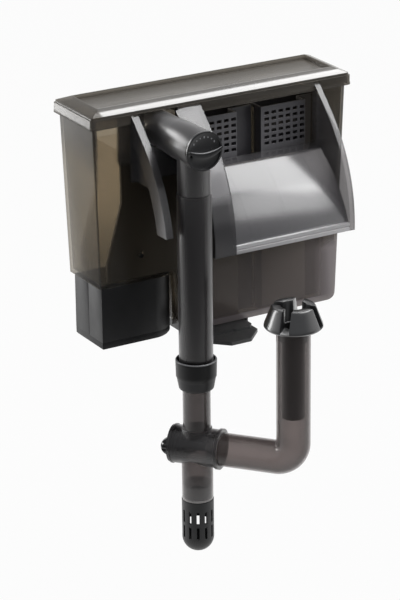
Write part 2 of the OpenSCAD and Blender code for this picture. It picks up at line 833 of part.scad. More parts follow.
module skimmer_tee() {
    rim_r = tee_r + 1.1;
    rim_w = 2.6;
    bore = tube_r - 0.7;
    socket_depth = 8;
    lip_t = 1;
    color("#3d393d") in_frame() tee_frame() difference() {
        union() {
            rod_tee(tee_r, -tee_back, tee_half);
            rod_tee(rim_r, tee_half - rim_w, tee_half);
            rod_tee(rim_r - 0.5, -tee_back, -tee_back + rim_w - 1.2);
            cylinder(r = ext_r + lip_t, h = tee_r + lip_t / 2);
        }
        difference() {
            rod_tee(bore, -tee_back - 1, tee_half);
            translate([0, 0, socket_depth]) cylinder(r = ext_r + 1.6, h = over);
            translate([0, 0, -socket_depth - over]) cylinder(r = lower_r + 1.4, h = over);
        }
        rod_tee(tube_r + run, arm_start, tee_half + 1);
        rod_tee(tee_r - 1.4, -tee_back - 1, -tee_back + 3);
        translate([0, 0, 0]) cylinder(r = ext_r + run, h = over);
        translate([0, 0, -over]) cylinder(r = lower_r + run, h = over - socket_depth - 1);
        translate([0, 0, -over]) cylinder(r = lower_r - lower_wall, h = over);
    }
}

module tee_knob() {
    plate_t = 1.4;
    grip_r = 7.6;
    grip_drop = 3.4;
    grip_out = 2;
    grip_t = 5;
    rib_w = 11;
    rib_n = 3;
    seat = -tee_back - clear;
    color("#222124") in_frame() tee_frame() {
        rod_tee(tee_knob_r, seat - plate_t, seat);
        rod_tee(tee_knob_r - 2.4, seat - plate_t - 0.7, seat - plate_t + 0.2);
        // Domed grip with finger ribs, set below the axis
        translate([seat - plate_t - grip_out, 0, -grip_drop]) intersection() {
            union() {
                sphere(r = grip_r);
                rod_tee(grip_r, 0, grip_out + 0.2);
            }
            union() {
                translate([-grip_r, -grip_t / 2, -grip_r])
                    cube([grip_r + grip_out + 0.2, grip_t, 2 * grip_r]);
                for (i = [0 : rib_n - 1])
                    translate([-grip_r, -rib_w / 2, (i - (rib_n - 1) / 2) * 3.4 - 0.6])
                        cube([grip_r + grip_out + 0.2, rib_w, 1.2]);
            }
        }
        // Spigot that carries the valve
        rod_tee(6, seat - 0.5, -tee_back + 4);
    }
}

module tee_valve() {
    r = 7.4;
    s0 = -tee_back + 4;
    s1 = 9;
    disc_r = tube_r - 0.7 - run;
    color("#18181a") in_frame() tee_frame() difference() {
        union() {
            rod_tee(disc_r, s0, s0 + 1.2);
            rod_tee(r, s0, s1);
        }
        rod_tee(r - 1.5, s0 + 3, s1 + 1);
        translate([s0 + 5, -r - 1, -r - 1]) cube([s1 - s0, 2 * r + 2, r + 1]);
    }
}

module tee_seal() {
    color("#0f0f10") in_frame() tee_frame() difference() {
        rod_tee(tee_r - 1.4 - run, -tee_back, -tee_back + 2.8);
        rod_tee(6 + run, -tee_back - 1, -tee_back + 4);
    }
}

// One wall of the arm: a straight run, a quarter bend and the riser
module arm_solid(r, start, top) {
    rod_tee(r, start, arm_reach - bend_r);
    translate([arm_reach - bend_r, 0, bend_r]) rotate([90, 0, 0])
        rotate([0, 0, -90]) rotate_extrude(angle = 90) translate([bend_r, 0]) circle(r = r);
    translate([arm_reach, 0, bend_r]) cylinder(r = r, h = top - tee_z - bend_r);
}

module skimmer_arm() {
    color("#4b4347") in_frame() tee_frame() difference() {
        arm_solid(tube_r, arm_start, riser_top_z);
        arm_solid(tube_bore, arm_start - 1, riser_top_z + 1);
    }
}

module riser_guide() {
    guide_l = 6;
    color("#29282a") in_frame() ring_z(tube_bore - run, float_r + run, riser_x, riser_y,
        riser_top_z - guide_l - 2, riser_top_z - 2);
}

module float_tube() {
    color("#242326") in_frame() ring_z(float_r, float_r - 1.4, riser_x, riser_y,
        crown_z + 3 - float_l, crown_z + 3);
}

module skimmer_crown() {
    base = 3;
    foot_r = tube_r + 1.5;
    color("#232225") in_frame() translate([riser_x, riser_y, crown_z]) difference() {
        rotate_extrude() difference() {
            polygon([
                [0, 0], [foot_r, 0], [crown_r - 1, 2.4], [crown_r, 3.6],
                [crown_r - 0.3, 5.4], [crown_top_r + 0.7, crown_h - 0.9],
                [crown_top_r, crown_h], [0, crown_h]
            ]);
            translate([0, base]) square([float_r + 1.2, crown_h]);
            translate([0, -1]) square([float_r + run, base + 2]);
        }
        for (q = [0 : 3]) rotate([0, 0, arm_heading + q * 90])
            translate([0, -crown_slot / 2, base + 1]) cube([crown_r + 1, crown_slot, crown_h]);
    }
}

module lower_tube() {
    color("#4d464a") in_frame() ring_z(lower_r, lower_r - lower_wall, intake_x, intake_y,
        lower_end_z, tee_z - 9 - run);
}

module strainer() {
    r = lower_r + 0.3;
    strainer_wall = 1.8;
    spigot = 5;
    bottom_z = lower_end_z - clear - strainer_l;
    rows = 2;
    slot_w2 = 2.2;
    band = (strainer_l - r - 6) / rows;
    color("#2b2a2c") in_frame() translate([intake_x, intake_y, 0]) difference() {
        union() {
            translate([0, 0, bottom_z + r]) cylinder(r = r, h = strainer_l - r);
            translate([0, 0, bottom_z + r]) sphere(r = r);
            translate([0, 0, lower_end_z - 2])
                cylinder(r = lower_r - lower_wall - run, h = spigot + 2);
        }
        translate([0, 0, bottom_z + r]) cylinder(r = r - strainer_wall, h = strainer_l - r - 3);
        translate([0, 0, bottom_z + r]) sphere(r = r - strainer_wall);
        translate([0, 0, lower_end_z - 6])
            cylinder(r = lower_r - lower_wall - run - 1.5, h = spigot + 8);
        for (k = [0 : rows - 1], i = [0 : strainer_slots - 1])
            rotate([0, 0, i * 360 / strainer_slots])
                translate([r / 2, -slot_w2 / 2, bottom_z + r + 1 + k * band])
                    cube([r, slot_w2, band - 3]);
    }
}

// ---- Pump ----

// D-shaped plan of the motor: square left end, round right end
module motor_plan(inset) {
    r = motor_d / 2;
    x1 = motor_x1 - r;
    translate([motor_x0 + inset, motor_y0 + inset])
        square([x1 - motor_x0 - inset, motor_d - 2 * inset]);
    translate([x1, pump_y]) circle(r = r - inset, $fn = 96);
}

module screw_places() {
    for (x = screw_x, s = [-1, 1]) translate([x, pump_y + s * screw_dy, 0]) children();
}

module pump_housing() {
    boss_r = 3.4;
    groove = 0.5;
    color("#201f21") in_frame() difference() {
        union() {
            difference() {
                translate([0, 0, cover_z]) linear_extrude(motor_h - cover_h) motor_plan(0);
                translate([0, 0, cover_z - 1])
                    linear_extrude(motor_h - cover_h - motor_wall + 1) motor_plan(motor_wall);
            }
            rod_z(well_r + well_wall, intake_x, pump_y, well_floor_z - well_wall, motor_top_z);
            screw_places() translate([0, 0, cover_z + clear + 3])
                cylinder(r = boss_r, h = boss_top_z - cover_z - clear - 3);
        }
        rod_z(well_r, intake_x, pump_y, well_floor_z, motor_top_z + 1);
        rod_z(gasket_r, intake_x, pump_y, motor_top_z - gasket_t, motor_top_z + 1);
        screw_places() translate([0, 0, cover_z - 1])
            cylinder(r = screw_r, h = boss_top_z - cover_z - 0.5);
        rod_y(gland_r + run, motor_x0 + 24, motor_y0 + motor_d - motor_wall - 1,
            motor_y0 + motor_d + 1, core_z + 13);
        // Parting groove on the square end
        translate([motor_x0 - 1, pump_y - groove / 2, cover_z - 1])
            cube([1 + groove, groove, motor_h]);
    }
}

module pump_bottom_cover() {
    plug = 3;
    color("#1c1b1d") in_frame() difference() {
        union() {
            translate([0, 0, motor_bottom_z + 1]) linear_extrude(cover_h - 1 - run) motor_plan(0);
            translate([0, 0, motor_bottom_z]) linear_extrude(1 + eps) motor_plan(0.8);
            translate([0, 0, cover_z - 1]) linear_extrude(plug + 1)
                motor_plan(motor_wall + run + 0.1);
        }
        screw_places() translate([0, 0, motor_bottom_z - 1]) {
            cylinder(r = screw_r + 0.2, h = cover_h + plug + 2);
            cylinder(r = 3.2, h = 3.4);
        }
    }
}

module cover_screws() {
    color("#b8b8bc") in_frame() screw_places() difference() {
        union() {
            translate([0, 0, motor_bottom_z + 0.4]) cylinder(r = 2.9, h = 2);
            translate([0, 0, motor_bottom_z + 2])
                cylinder(r = screw_r - run, h = boss_top_z - motor_bottom_z - 4.5);
        }
        for (a = [0, 90]) rotate([0, 0, a])
            translate([-1.8, -0.35, motor_bottom_z]) cube([3.6, 0.7, 1.4]);
    }
}

module pump_gasket() {
    color("#141414") in_frame() ring_z(gasket_r - run, well_r + 1.6, intake_x, pump_y,
        motor_top_z - gasket_t + run, motor_top_z - run);
}

module cable_gland() {
    y1 = motor_y0 + motor_d;
    x = motor_x0 + 24;
    z = core_z + 13;
    color("#19191a") in_frame() difference() {
        union() {
            rod_y(gland_r, x, y1 - motor_wall - 1, y1 + 3, z);
            rod_y(gland_r + 1.4, x, y1 - motor_wall - 2.4, y1 - motor_wall - run, z);
            rod_y(gland_r + 1.4, x, y1 + run, y1 + 2.2, z);
        }
        rod_y(gland_bore, x, y1 - motor_wall - 4, y1 + 4, z);
    }
}

module stator_core() {
    window = 18;
    half = core_half;
    color("#8d8f94") in_frame() translate([0, pump_y, core_z - core_h / 2]) difference() {
        translate([core_x0, -half, 0])
            cube([intake_x + 4 - core_x0, 2 * half, core_h]);
        translate([core_x0 + core_leg, -half + 7, -1])
            cube([intake_x - well_r - well_wall - 2 - core_x0 - core_leg, 2 * half - 14, core_h + 2]);
        translate([intake_x, 0, -1]) cylinder(r = well_r + well_wall + run, h = core_h + 2);
        translate([intake_x - 1, -2, -1]) cube([window, 4, core_h + 2]);
    }
}

module stator_coil() {
    half = core_half - 7.4;
    flange = 1.4;
    x0 = core_x0 - coil_pad;
    w = core_leg + 2 * coil_pad;
    h = core_h + 2 * coil_pad;
    color("#a4602f") in_frame() translate([x0, pump_y, core_z - h / 2]) difference() {
        union() {
            translate([0.8, -half, 0.8]) cube([w - 1.6, 2 * half, h - 1.6]);
            for (y = [-half, half - flange]) translate([0, y, 0]) cube([w, flange, h]);
        }
        translate([coil_pad - run, -half - 1, coil_pad - run])
            cube([core_leg + 2 * run, 2 * half + 2, core_h + 2 * run]);
    }
}

module lower_bush() {
    color("#2a2a2a") in_frame() ring_z(4, shaft_r + run, intake_x, pump_y,
        well_floor_z + run, well_floor_z + 5);
}

module upper_bush() {
    color("#2a2a2a") in_frame() ring_z(3.4, shaft_r + run, intake_x, pump_y,
        shaft_top_z - 5, shaft_top_z + 0.5);
}

module impeller_shaft() {
    color("#e6e4dc") in_frame() rod_z(shaft_r, intake_x, pump_y, shaft_seat_z, shaft_top_z);
}

module rotor_magnet() {
    color("#3b3b40") in_frame() ring_z(rotor_r, shaft_r + run, intake_x, pump_y,
        rotor_z, rotor_z + rotor_h);
}

module impeller() {
    hub_r = 4.6;
    blade_t = 1.3;
    plate_t = 1.4;
    color("#d8d6cf") in_frame() translate([intake_x, pump_y, 0]) difference() {
        union() {
            translate([0, 0, rotor_z + rotor_h])
                cylinder(r = hub_r, h = impeller_z + impeller_h - rotor_z - rotor_h - 1);
            translate([0, 0, impeller_z]) cylinder(r = impeller_r - 2, h = plate_t);
            for (i = [0 : blade_n - 1]) rotate([0, 0, i * 360 / blade_n])
                translate([1, -blade_t / 2, impeller_z])
                    cube([impeller_r - 1, blade_t, impeller_h]);
        }
        translate([0, 0, rotor_z]) cylinder(r = shaft_r + run, h = over + rotor_h);
        translate([0, 0, impeller_z + impeller_h - 3]) cylinder(r = hub_r + 1.2, h = over);
    }
}

module volute_cover() {
    spoke = 1.6;
    spout_w = 10;
    collar_h = 5;
    color("#2f2e30") in_frame() difference() {
        union() {
            difference() {
                rod_z(volute_r, intake_x, pump_y, pump_floor_z, volute_top_z);
                rod_z(volute_r - volute_wall, intake_x, pump_y, pump_floor_z - 1,
                    volute_top_z - volute_wall);
                rod_z(pipe_bore - 1, intake_x, pump_y, pump_floor_z, volute_top_z + 1);
            }
            ring_z(pipe_bore - run, pipe_bore - 1.2, intake_x, pump_y,
                volute_top_z - 1, volute_top_z + collar_h);
            rod_z(5, intake_x, pump_y, shaft_top_z - 4.5, shaft_top_z + 2);
            for (a = [30, 150, 270]) translate([intake_x, pump_y, shaft_top_z - 3])
                rotate([0, 0, a]) translate([0, -spoke / 2, 0]) cube([pipe_bore, spoke, 3]);
        }
        rod_z(3.4 + run, intake_x, pump_y, shaft_top_z - 6, shaft_top_z + 0.6);
        translate([intake_x - volute_r - 1, pump_y - volute_r + volute_wall, pump_floor_z - 1])
            cube([volute_r, spout_w, impeller_h + 4]);
    }
}

// Outline of the shroud, drawn in X and Z; it flares to the left at its foot
module shroud_profile(t) {
    top = -barrel_depth - barrel_r - 2;
    foot = pump_floor_z + clear;
    flare_top = top - 42;
    knee = foot + 16;
    polygon([
        [shroud_x0 + t, top + (t > 0 ? 1 : 0)], [divider_x - 1.2 - t, top + (t > 0 ? 1 : 0)],
        [divider_x - 1.2 - t, foot - (t > 0 ? 1 : 0)],
        [shroud_x0 - shroud_flare + t, foot - (t > 0 ? 1 : 0)],
        [shroud_x0 - shroud_flare + t, knee], [shroud_x0 + t, flare_top]
    ]);
}

module pump_shroud() {
    y0 = wall + pump_inset + 0.5;
    y1 = case_d - y0;
    color("#171614") in_frame() difference() {
        translate([0, y1, 0]) rotate([90, 0, 0]) linear_extrude(y1 - y0) shroud_profile(0);
        translate([0, y1 - shroud_wall, 0]) rotate([90, 0, 0])
            linear_extrude(y1 - y0 - 2 * shroud_wall) shroud_profile(shroud_wall);
        translate([divider_x - 4, pump_y - 12, volute_top_z + 6]) cube([6, 24, 14]);
        // Round bleed hole in the front
        rod_y(2, intake_x - 16, y0 - 1, y0 + shroud_wall + 1, volute_top_z + 4);
    }
}

// ---- Media ----

// A cassette with its left front corner at x0
module cassette(x0) {
    t = cassette_wall;
    h = cassette_z1 - cassette_z0;
    tab_w = 20;
    tab_h = 7;
    difference() {
        union() {
            translate([x0, cassette_y1 - eps, cassette_z0])
                cube([cassette_w, cassette_y2 - cassette_y1, h]);
            translate([x0, cassette_y0, cassette_z0]) cube([front_box_w, front_box_d + 1, h]);
            // Pull tab
            translate([x0 + cassette_w / 2 - tab_w / 2, cassette_y2 - 2 * t, cassette_z1 - 4])
                cube([tab_w, t, tab_h + 4]);
        }
        translate([x0 + t, cassette_y1 + t, cassette_z0 + t])
            cube([cassette_w - 2 * t, cassette_y2 - cassette_y1 - 2 * t - 2 * t, h]);
        translate([x0 + t, cassette_y0 + t, cassette_z0 + t])
            cube([front_box_w - 2 * t, front_box_d, h]);
        // Grille of slots near the top of the front box
        for (i = [0 : grille_n - 1], k = [0 : grille_n - 1])
            translate([x0 + grille_inset + i * grille_pitch_x - grille_slot_w / 2 + 1.2,
                cassette_y0 - 1, cassette_z1 - 5.9 - k * grille_pitch_z - grille_slot_h / 2])
                cube([grille_slot_w, t + 2, grille_slot_h]);
        // Inlet slots low in the back
        for (i = [0 : 6])
            translate([x0 + 6 + i * (cassette_w - 12) / 7, cassette_y2 - 3 * t - 1, cassette_z0 + 5])
                cube([4, 3 * t + 2, 24]);
        translate([x0 + cassette_w / 2 - 5, cassette_y2 - 3 * t, cassette_z1 + 1])
            cube([10, 3 * t, 3]);
    }
}

// Foam block with ridged faces
module foam(x0) {
    t = cassette_wall + clear;
    x = x0 + t;
    w = cassette_w - 2 * t;
    y = cassette_y1 + t;
    d = cassette_y2 - cassette_y1 - 2 * t - 2 * cassette_wall;
    h = cassette_z1 - cassette_z0 - t - foam_head;
    ridge_n = 9;
    difference() {
        translate([x, y, cassette_z0 + t]) cube([w, d, h]);
        for (i = [0 : ridge_n - 1])
            translate([x + (i + 0.5) * w / ridge_n, y, cassette_z0])
                cylinder(r = 1.8, h = h + over, $fn = 6);
    }
}

// Carbon pad in the front box, with a quilted face
module carbon(x0) {
    t = cassette_wall + clear;
    w = front_box_w - 2 * t;
    d = front_box_d - t + clear;
    h = cassette_z1 - cassette_z0 - t - carbon_head;
    band_n = 5;
    difference() {
        translate([x0 + t, cassette_y0 + t, cassette_z0 + t]) cube([w, d, h]);
        for (i = [1 : band_n - 1])
            translate([x0, cassette_y0 + t, cassette_z0 + t + i * h / band_n])
                rotate([0, 90, 0]) cylinder(r = 1.4, h = front_box_w, $fn = 6);
    }
}

module cassette_left() { color("#3a383d") in_frame() cassette(left_cassette_x); }
module cassette_right() { color("#3a3a3a") in_frame() cassette(right_cassette_x); }
module foam_left() { color("#27282b") in_frame() foam(left_cassette_x); }
module foam_right() { color("#27282b") in_frame() foam(right_cassette_x); }
module carbon_left() { color("#1a1a1c") in_frame() carbon(left_cassette_x); }
module carbon_right() { color("#1a1a1c") in_frame() carbon(right_cassette_x); }

// ---- Levelling foot ----

module foot_rail() {
    half = foot_w / 2 + clear;
    y0 = media_inset + 1.5;
    y1 = case_d - media_inset - 1.5;
    top = -media_chamber_h;
    bottom = foot_bottom_z - clear - rail_lip + 0.4;
    color("#2a2a2b") in_frame() difference() {
        translate([foot_x - half - rail_wall, y0, bottom])
            cube([2 * half + 2 * rail_wall, y1 - y0, top - bottom]);
        translate([foot_x - half, y0 - 1, foot_bottom_z - clear])
            cube([2 * half, y1 - y0 + 2, foot_top_z + clear - foot_bottom_z + clear]);
        translate([foot_x - half + rail_lip, y0 - 1, bottom - 1])
            cube([2 * half - 2 * rail_lip, y1 - y0 + 2, foot_top_z - bottom]);
    }
}

module leveller_foot() {
    half = foot_w / 2;
    y1 = foot_front_y + foot_l;
    upper_y = foot_front_y + foot_step;
    color("#242426") in_frame() {
        translate([foot_x, 0, foot_bottom_z]) linear_extrude(foot_t) polygon([
            [-half, y1], [-half, foot_front_y + foot_chamfer],
            [-half + foot_chamfer, foot_front_y], [half - foot_chamfer, foot_front_y],
            [half, foot_front_y + foot_chamfer], [half, y1]
        ]);
        translate([foot_x, 0, foot_bottom_z + foot_t - eps]) linear_extrude(foot_layer + eps)
            polygon([
                [-half + 1, y1], [-half + 1, upper_y + 4], [-half + 5, upper_y],
                [4, upper_y], [6, upper_y - 2], [half - 5, upper_y - 2],
                [half - 1, upper_y + 3], [half - 1, y1]
            ]);
    }
}

filter_case();
lid();
hood_left();
hood_right();
waterfall_chute();
intake_elbow();
suction_pipe();
flow_knob();
flow_valve_drum();
knob_seal();
main_tube();
tube_collar();
collar_seal();
extension_tube();
skimmer_tee();
tee_knob();
tee_valve();
tee_seal();
skimmer_arm();
riser_guide();
float_tube();
skimmer_crown();
lower_tube();
strainer();
pump_shroud();
volute_cover();
impeller();
rotor_magnet();
impeller_shaft();
upper_bush();
lower_bush();
pump_housing();
pump_bottom_cover();
cover_screws();
stator_core();
stator_coil();
pump_gasket();
cable_gland();
cassette_left();
cassette_right();
foam_left();
foam_right();
carbon_left();
carbon_right();
foot_rail();
leveller_foot();
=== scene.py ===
"""Looks of a hang-on aquarium filter with a waterfall outlet and a surface skimmer."""
import json
import math

import bmesh
import bpy
from mathutils import Matrix, Vector, noise


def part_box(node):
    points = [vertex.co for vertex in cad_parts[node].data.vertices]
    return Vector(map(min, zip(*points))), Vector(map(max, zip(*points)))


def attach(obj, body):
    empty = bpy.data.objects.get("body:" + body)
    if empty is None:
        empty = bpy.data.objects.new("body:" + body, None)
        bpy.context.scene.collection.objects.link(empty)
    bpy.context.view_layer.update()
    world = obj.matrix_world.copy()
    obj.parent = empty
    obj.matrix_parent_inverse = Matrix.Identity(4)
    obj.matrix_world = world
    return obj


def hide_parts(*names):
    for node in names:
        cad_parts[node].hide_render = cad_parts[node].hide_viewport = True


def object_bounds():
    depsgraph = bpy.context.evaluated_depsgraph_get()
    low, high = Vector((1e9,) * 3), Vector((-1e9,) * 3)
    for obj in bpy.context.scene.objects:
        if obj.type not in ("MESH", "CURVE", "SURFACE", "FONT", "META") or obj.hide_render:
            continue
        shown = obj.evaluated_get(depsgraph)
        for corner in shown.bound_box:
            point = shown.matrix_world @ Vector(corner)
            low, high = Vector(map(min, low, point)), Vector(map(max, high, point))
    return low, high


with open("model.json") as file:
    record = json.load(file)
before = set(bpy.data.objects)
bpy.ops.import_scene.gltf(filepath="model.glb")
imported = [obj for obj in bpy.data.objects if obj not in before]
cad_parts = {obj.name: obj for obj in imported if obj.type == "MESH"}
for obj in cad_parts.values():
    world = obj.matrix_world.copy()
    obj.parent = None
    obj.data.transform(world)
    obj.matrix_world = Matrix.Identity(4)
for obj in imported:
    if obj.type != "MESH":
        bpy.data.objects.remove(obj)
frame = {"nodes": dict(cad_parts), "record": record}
CAD_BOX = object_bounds()
NODES = frame["nodes"]
MM = 0.001
RIM = 7.6  # the lid line lies this far below the top of the case

# The filter's own corner: left end, front face and lid line of the case
CASE_LOW, CASE_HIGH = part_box("filter_case")
CORNER = Vector((CASE_LOW.x, CASE_LOW.y, CASE_HIGH.z - RIM * MM))


def at(x, y, z):
    """A point given in millimetres from the case's corner."""
    return CORNER + Vector((x, y, z)) * MM


def x_at(x):
    """The x of a place that many millimetres to the right of the case's corner."""
    return at(x, 0, 0).x


# ---- Camera and studio ----

AZIMUTH, ELEVATION, ROLL = (math.radians(v) for v in (-30.15, 21.0, -0.65))
FOCUS = at(94.34, 0, -160.42)
DISTANCE = 2.3368
FOCAL_PIXELS = 2877.4
PICTURE_HEIGHT = 600
SENSOR = 36
CLIP = (0.1, 60)

LAMP_AIM = at(105, 0, -140)
# Name, direction from the object, distance, width, height and radiance
LAMPS = (("top_box", (0.469, -0.01, 0.88), 1.8, 1.5, 1.7, 5.0),
         ("front_box", (0.469, -0.561, 0.682), 2.0, 1.5, 0.7, 2.9),
         ("rear_left_box", (-0.58, 0.78, 0.233), 2.0, 1.2, 1.5, 7.0))

WHITE = (1, 1, 1, 1)
FILL_COLOR, FILL = (0.95, 0.97, 1.0, 1), 0.42
FLOOR_COLOR = (0.24, 0.24, 0.24, 1)
FLOOR_SIZE, FLOOR_DROP = 60, 0.12
FLOOR_WHITE = 0.96  # the rest of the floor's colour keeps the shadow
# Gloss sees the studio turn white over this reach, from front to back
WORLD_TURN, FLOOR_TURN = (-0.7, -0.1), (-0.72, -0.12)
# That white fades to HIGH_WHITE as the direction climbs over this reach
CLIMB, HIGH_WHITE = (0.2, 0.42), 0.3


def camera():
    back = Vector((math.sin(AZIMUTH) * math.cos(ELEVATION),
                   -math.cos(AZIMUTH) * math.cos(ELEVATION), math.sin(ELEVATION)))
    right = Vector((math.cos(AZIMUTH), math.sin(AZIMUTH), 0))
    up = back.cross(right)
    side = right * math.cos(ROLL) + up * math.sin(ROLL)
    top = up * math.cos(ROLL) - right * math.sin(ROLL)
    data = bpy.data.cameras.new("camera")
    data.sensor_width = SENSOR
    data.lens = FOCAL_PIXELS * SENSOR / PICTURE_HEIGHT
    data.clip_start, data.clip_end = CLIP
    obj = bpy.data.objects.new("camera", data)
    bpy.context.collection.objects.link(obj)
    place = Matrix((side, top, back)).transposed().to_4x4()
    place.translation = FOCUS + back * DISTANCE
    obj.matrix_world = place
    bpy.context.scene.camera = obj


def softbox(name, direction, distance, width, height, radiance):
    """A rectangular lamp of the given radiance that faces the object from a direction."""
    data = bpy.data.lights.new(name, "AREA")
    data.shape = "RECTANGLE"
    data.size, data.size_y = width, height
    data.energy = radiance * math.pi * width * height
    obj = bpy.data.objects.new(name, data)
    bpy.context.collection.objects.link(obj)
    back = Vector(direction).normalized()
    side = (Vector((1, 0, 0)) - back * back.x).normalized()
    place = Matrix((side, back.cross(side), back)).transposed().to_4x4()
    place.translation = LAMP_AIM + back * distance
    obj.matrix_world = place
    obj.visible_camera = False


def node_maker(tree):
    """Returns a function that adds a node and links or sets its inputs by index or name."""
    def make(kind, inputs=None, **settings):
        node = tree.nodes.new(kind)
        for key, value in settings.items():
            setattr(node, key, value)
        for key, value in (inputs or {}).items():
            if isinstance(value, bpy.types.NodeSocket):
                tree.links.new(value, node.inputs[key])
            else:
                node.inputs[key].default_value = value
        return node
    return make


def combine(make, operation, first, second):
    return make("ShaderNodeMath", {0: first, 1: second}, operation=operation).outputs[0]


def backness(make, vector, turn):
    """0 in front of the studio and 1 beside and behind it, from a place or a direction."""
    rear = (-math.sin(AZIMUTH), math.cos(AZIMUTH), 0)
    along = make("ShaderNodeVectorMath", {0: vector, 1: rear}, operation="DOT_PRODUCT")
    reach = {"Value": along.outputs["Value"], "From Min": turn[0], "From Max": turn[1]}
    return make("ShaderNodeMapRange", reach, interpolation_type="SMOOTHSTEP").outputs["Result"]


def white_world():
    """An even dim fill, with white behind the object for camera, glass and gloss."""
    world = bpy.data.worlds.new("studio")
    bpy.context.scene.world = world
    world.use_nodes = True
    world.node_tree.nodes.clear()
    make = node_maker(world.node_tree)
    path = make("ShaderNodeLightPath").outputs
    direction = make("ShaderNodeTexCoord").outputs["Generated"]
    climb = make("ShaderNodeSeparateXYZ", {0: direction}).outputs["Z"]
    low = make("ShaderNodeMapRange", {"Value": climb, "From Min": CLIMB[0], "From Max": CLIMB[1],
                                      "To Min": 1.0, "To Max": HIGH_WHITE}).outputs["Result"]
    behind = combine(make, "MULTIPLY", low, backness(make, direction, WORLD_TURN))
    gloss = combine(make, "MULTIPLY", path["Is Glossy Ray"], behind)
    seen = combine(make, "MAXIMUM", path["Is Camera Ray"], path["Is Transmission Ray"])
    share = combine(make, "MAXIMUM", seen, gloss)
    fill = make("ShaderNodeBackground", {"Color": FILL_COLOR, "Strength": FILL})
    white = make("ShaderNodeBackground", {"Color": WHITE, "Strength": 1})
    mix = make("ShaderNodeMixShader", {0: share, 1: fill.outputs[0], 2: white.outputs[0]})
    make("ShaderNodeOutputWorld", {"Surface": mix.outputs[0]})


def pale_floor():
    """Floor that the camera sees white, with the object's shadow kept in a small share."""
    bpy.ops.mesh.primitive_plane_add(size=FLOOR_SIZE, location=(0, 0, CAD_BOX[0].z - FLOOR_DROP))
    floor = bpy.context.object
    floor.name = "floor"
    mat = bpy.data.materials.new("floor_paint")
    mat.use_nodes = True
    mat.node_tree.nodes.clear()
    make = node_maker(mat.node_tree)
    path = make("ShaderNodeLightPath").outputs
    place = make("ShaderNodeTexCoord").outputs["Object"]
    gloss = combine(make, "MULTIPLY", path["Is Glossy Ray"], backness(make, place, FLOOR_TURN))
    seen = combine(make, "MAXIMUM", path["Is Camera Ray"], gloss)
    share = combine(make, "MULTIPLY", seen, FLOOR_WHITE)
    paint = make("ShaderNodeBsdfDiffuse", {"Color": FLOOR_COLOR})
    glow = make("ShaderNodeEmission", {"Strength": 1})
    mix = make("ShaderNodeMixShader", {0: share, 1: paint.outputs[0], 2: glow.outputs[0]})
    make("ShaderNodeOutputMaterial", {"Surface": mix.outputs[0]})
    floor.data.materials.append(mat)


def studio():
    bpy.context.scene.view_settings.view_transform = "Standard"
    for lamp in LAMPS:
        softbox(*lamp)
    white_world()
    pale_floor()


# ---- Recipes for materials ----

MIX_FIRST, MIX_SECOND, MIX_RESULT = 6, 7, 2  # the colour sockets of a Mix node
EDGE_BLEND = 0.45  # how fast clear plastic closes up towards its outline


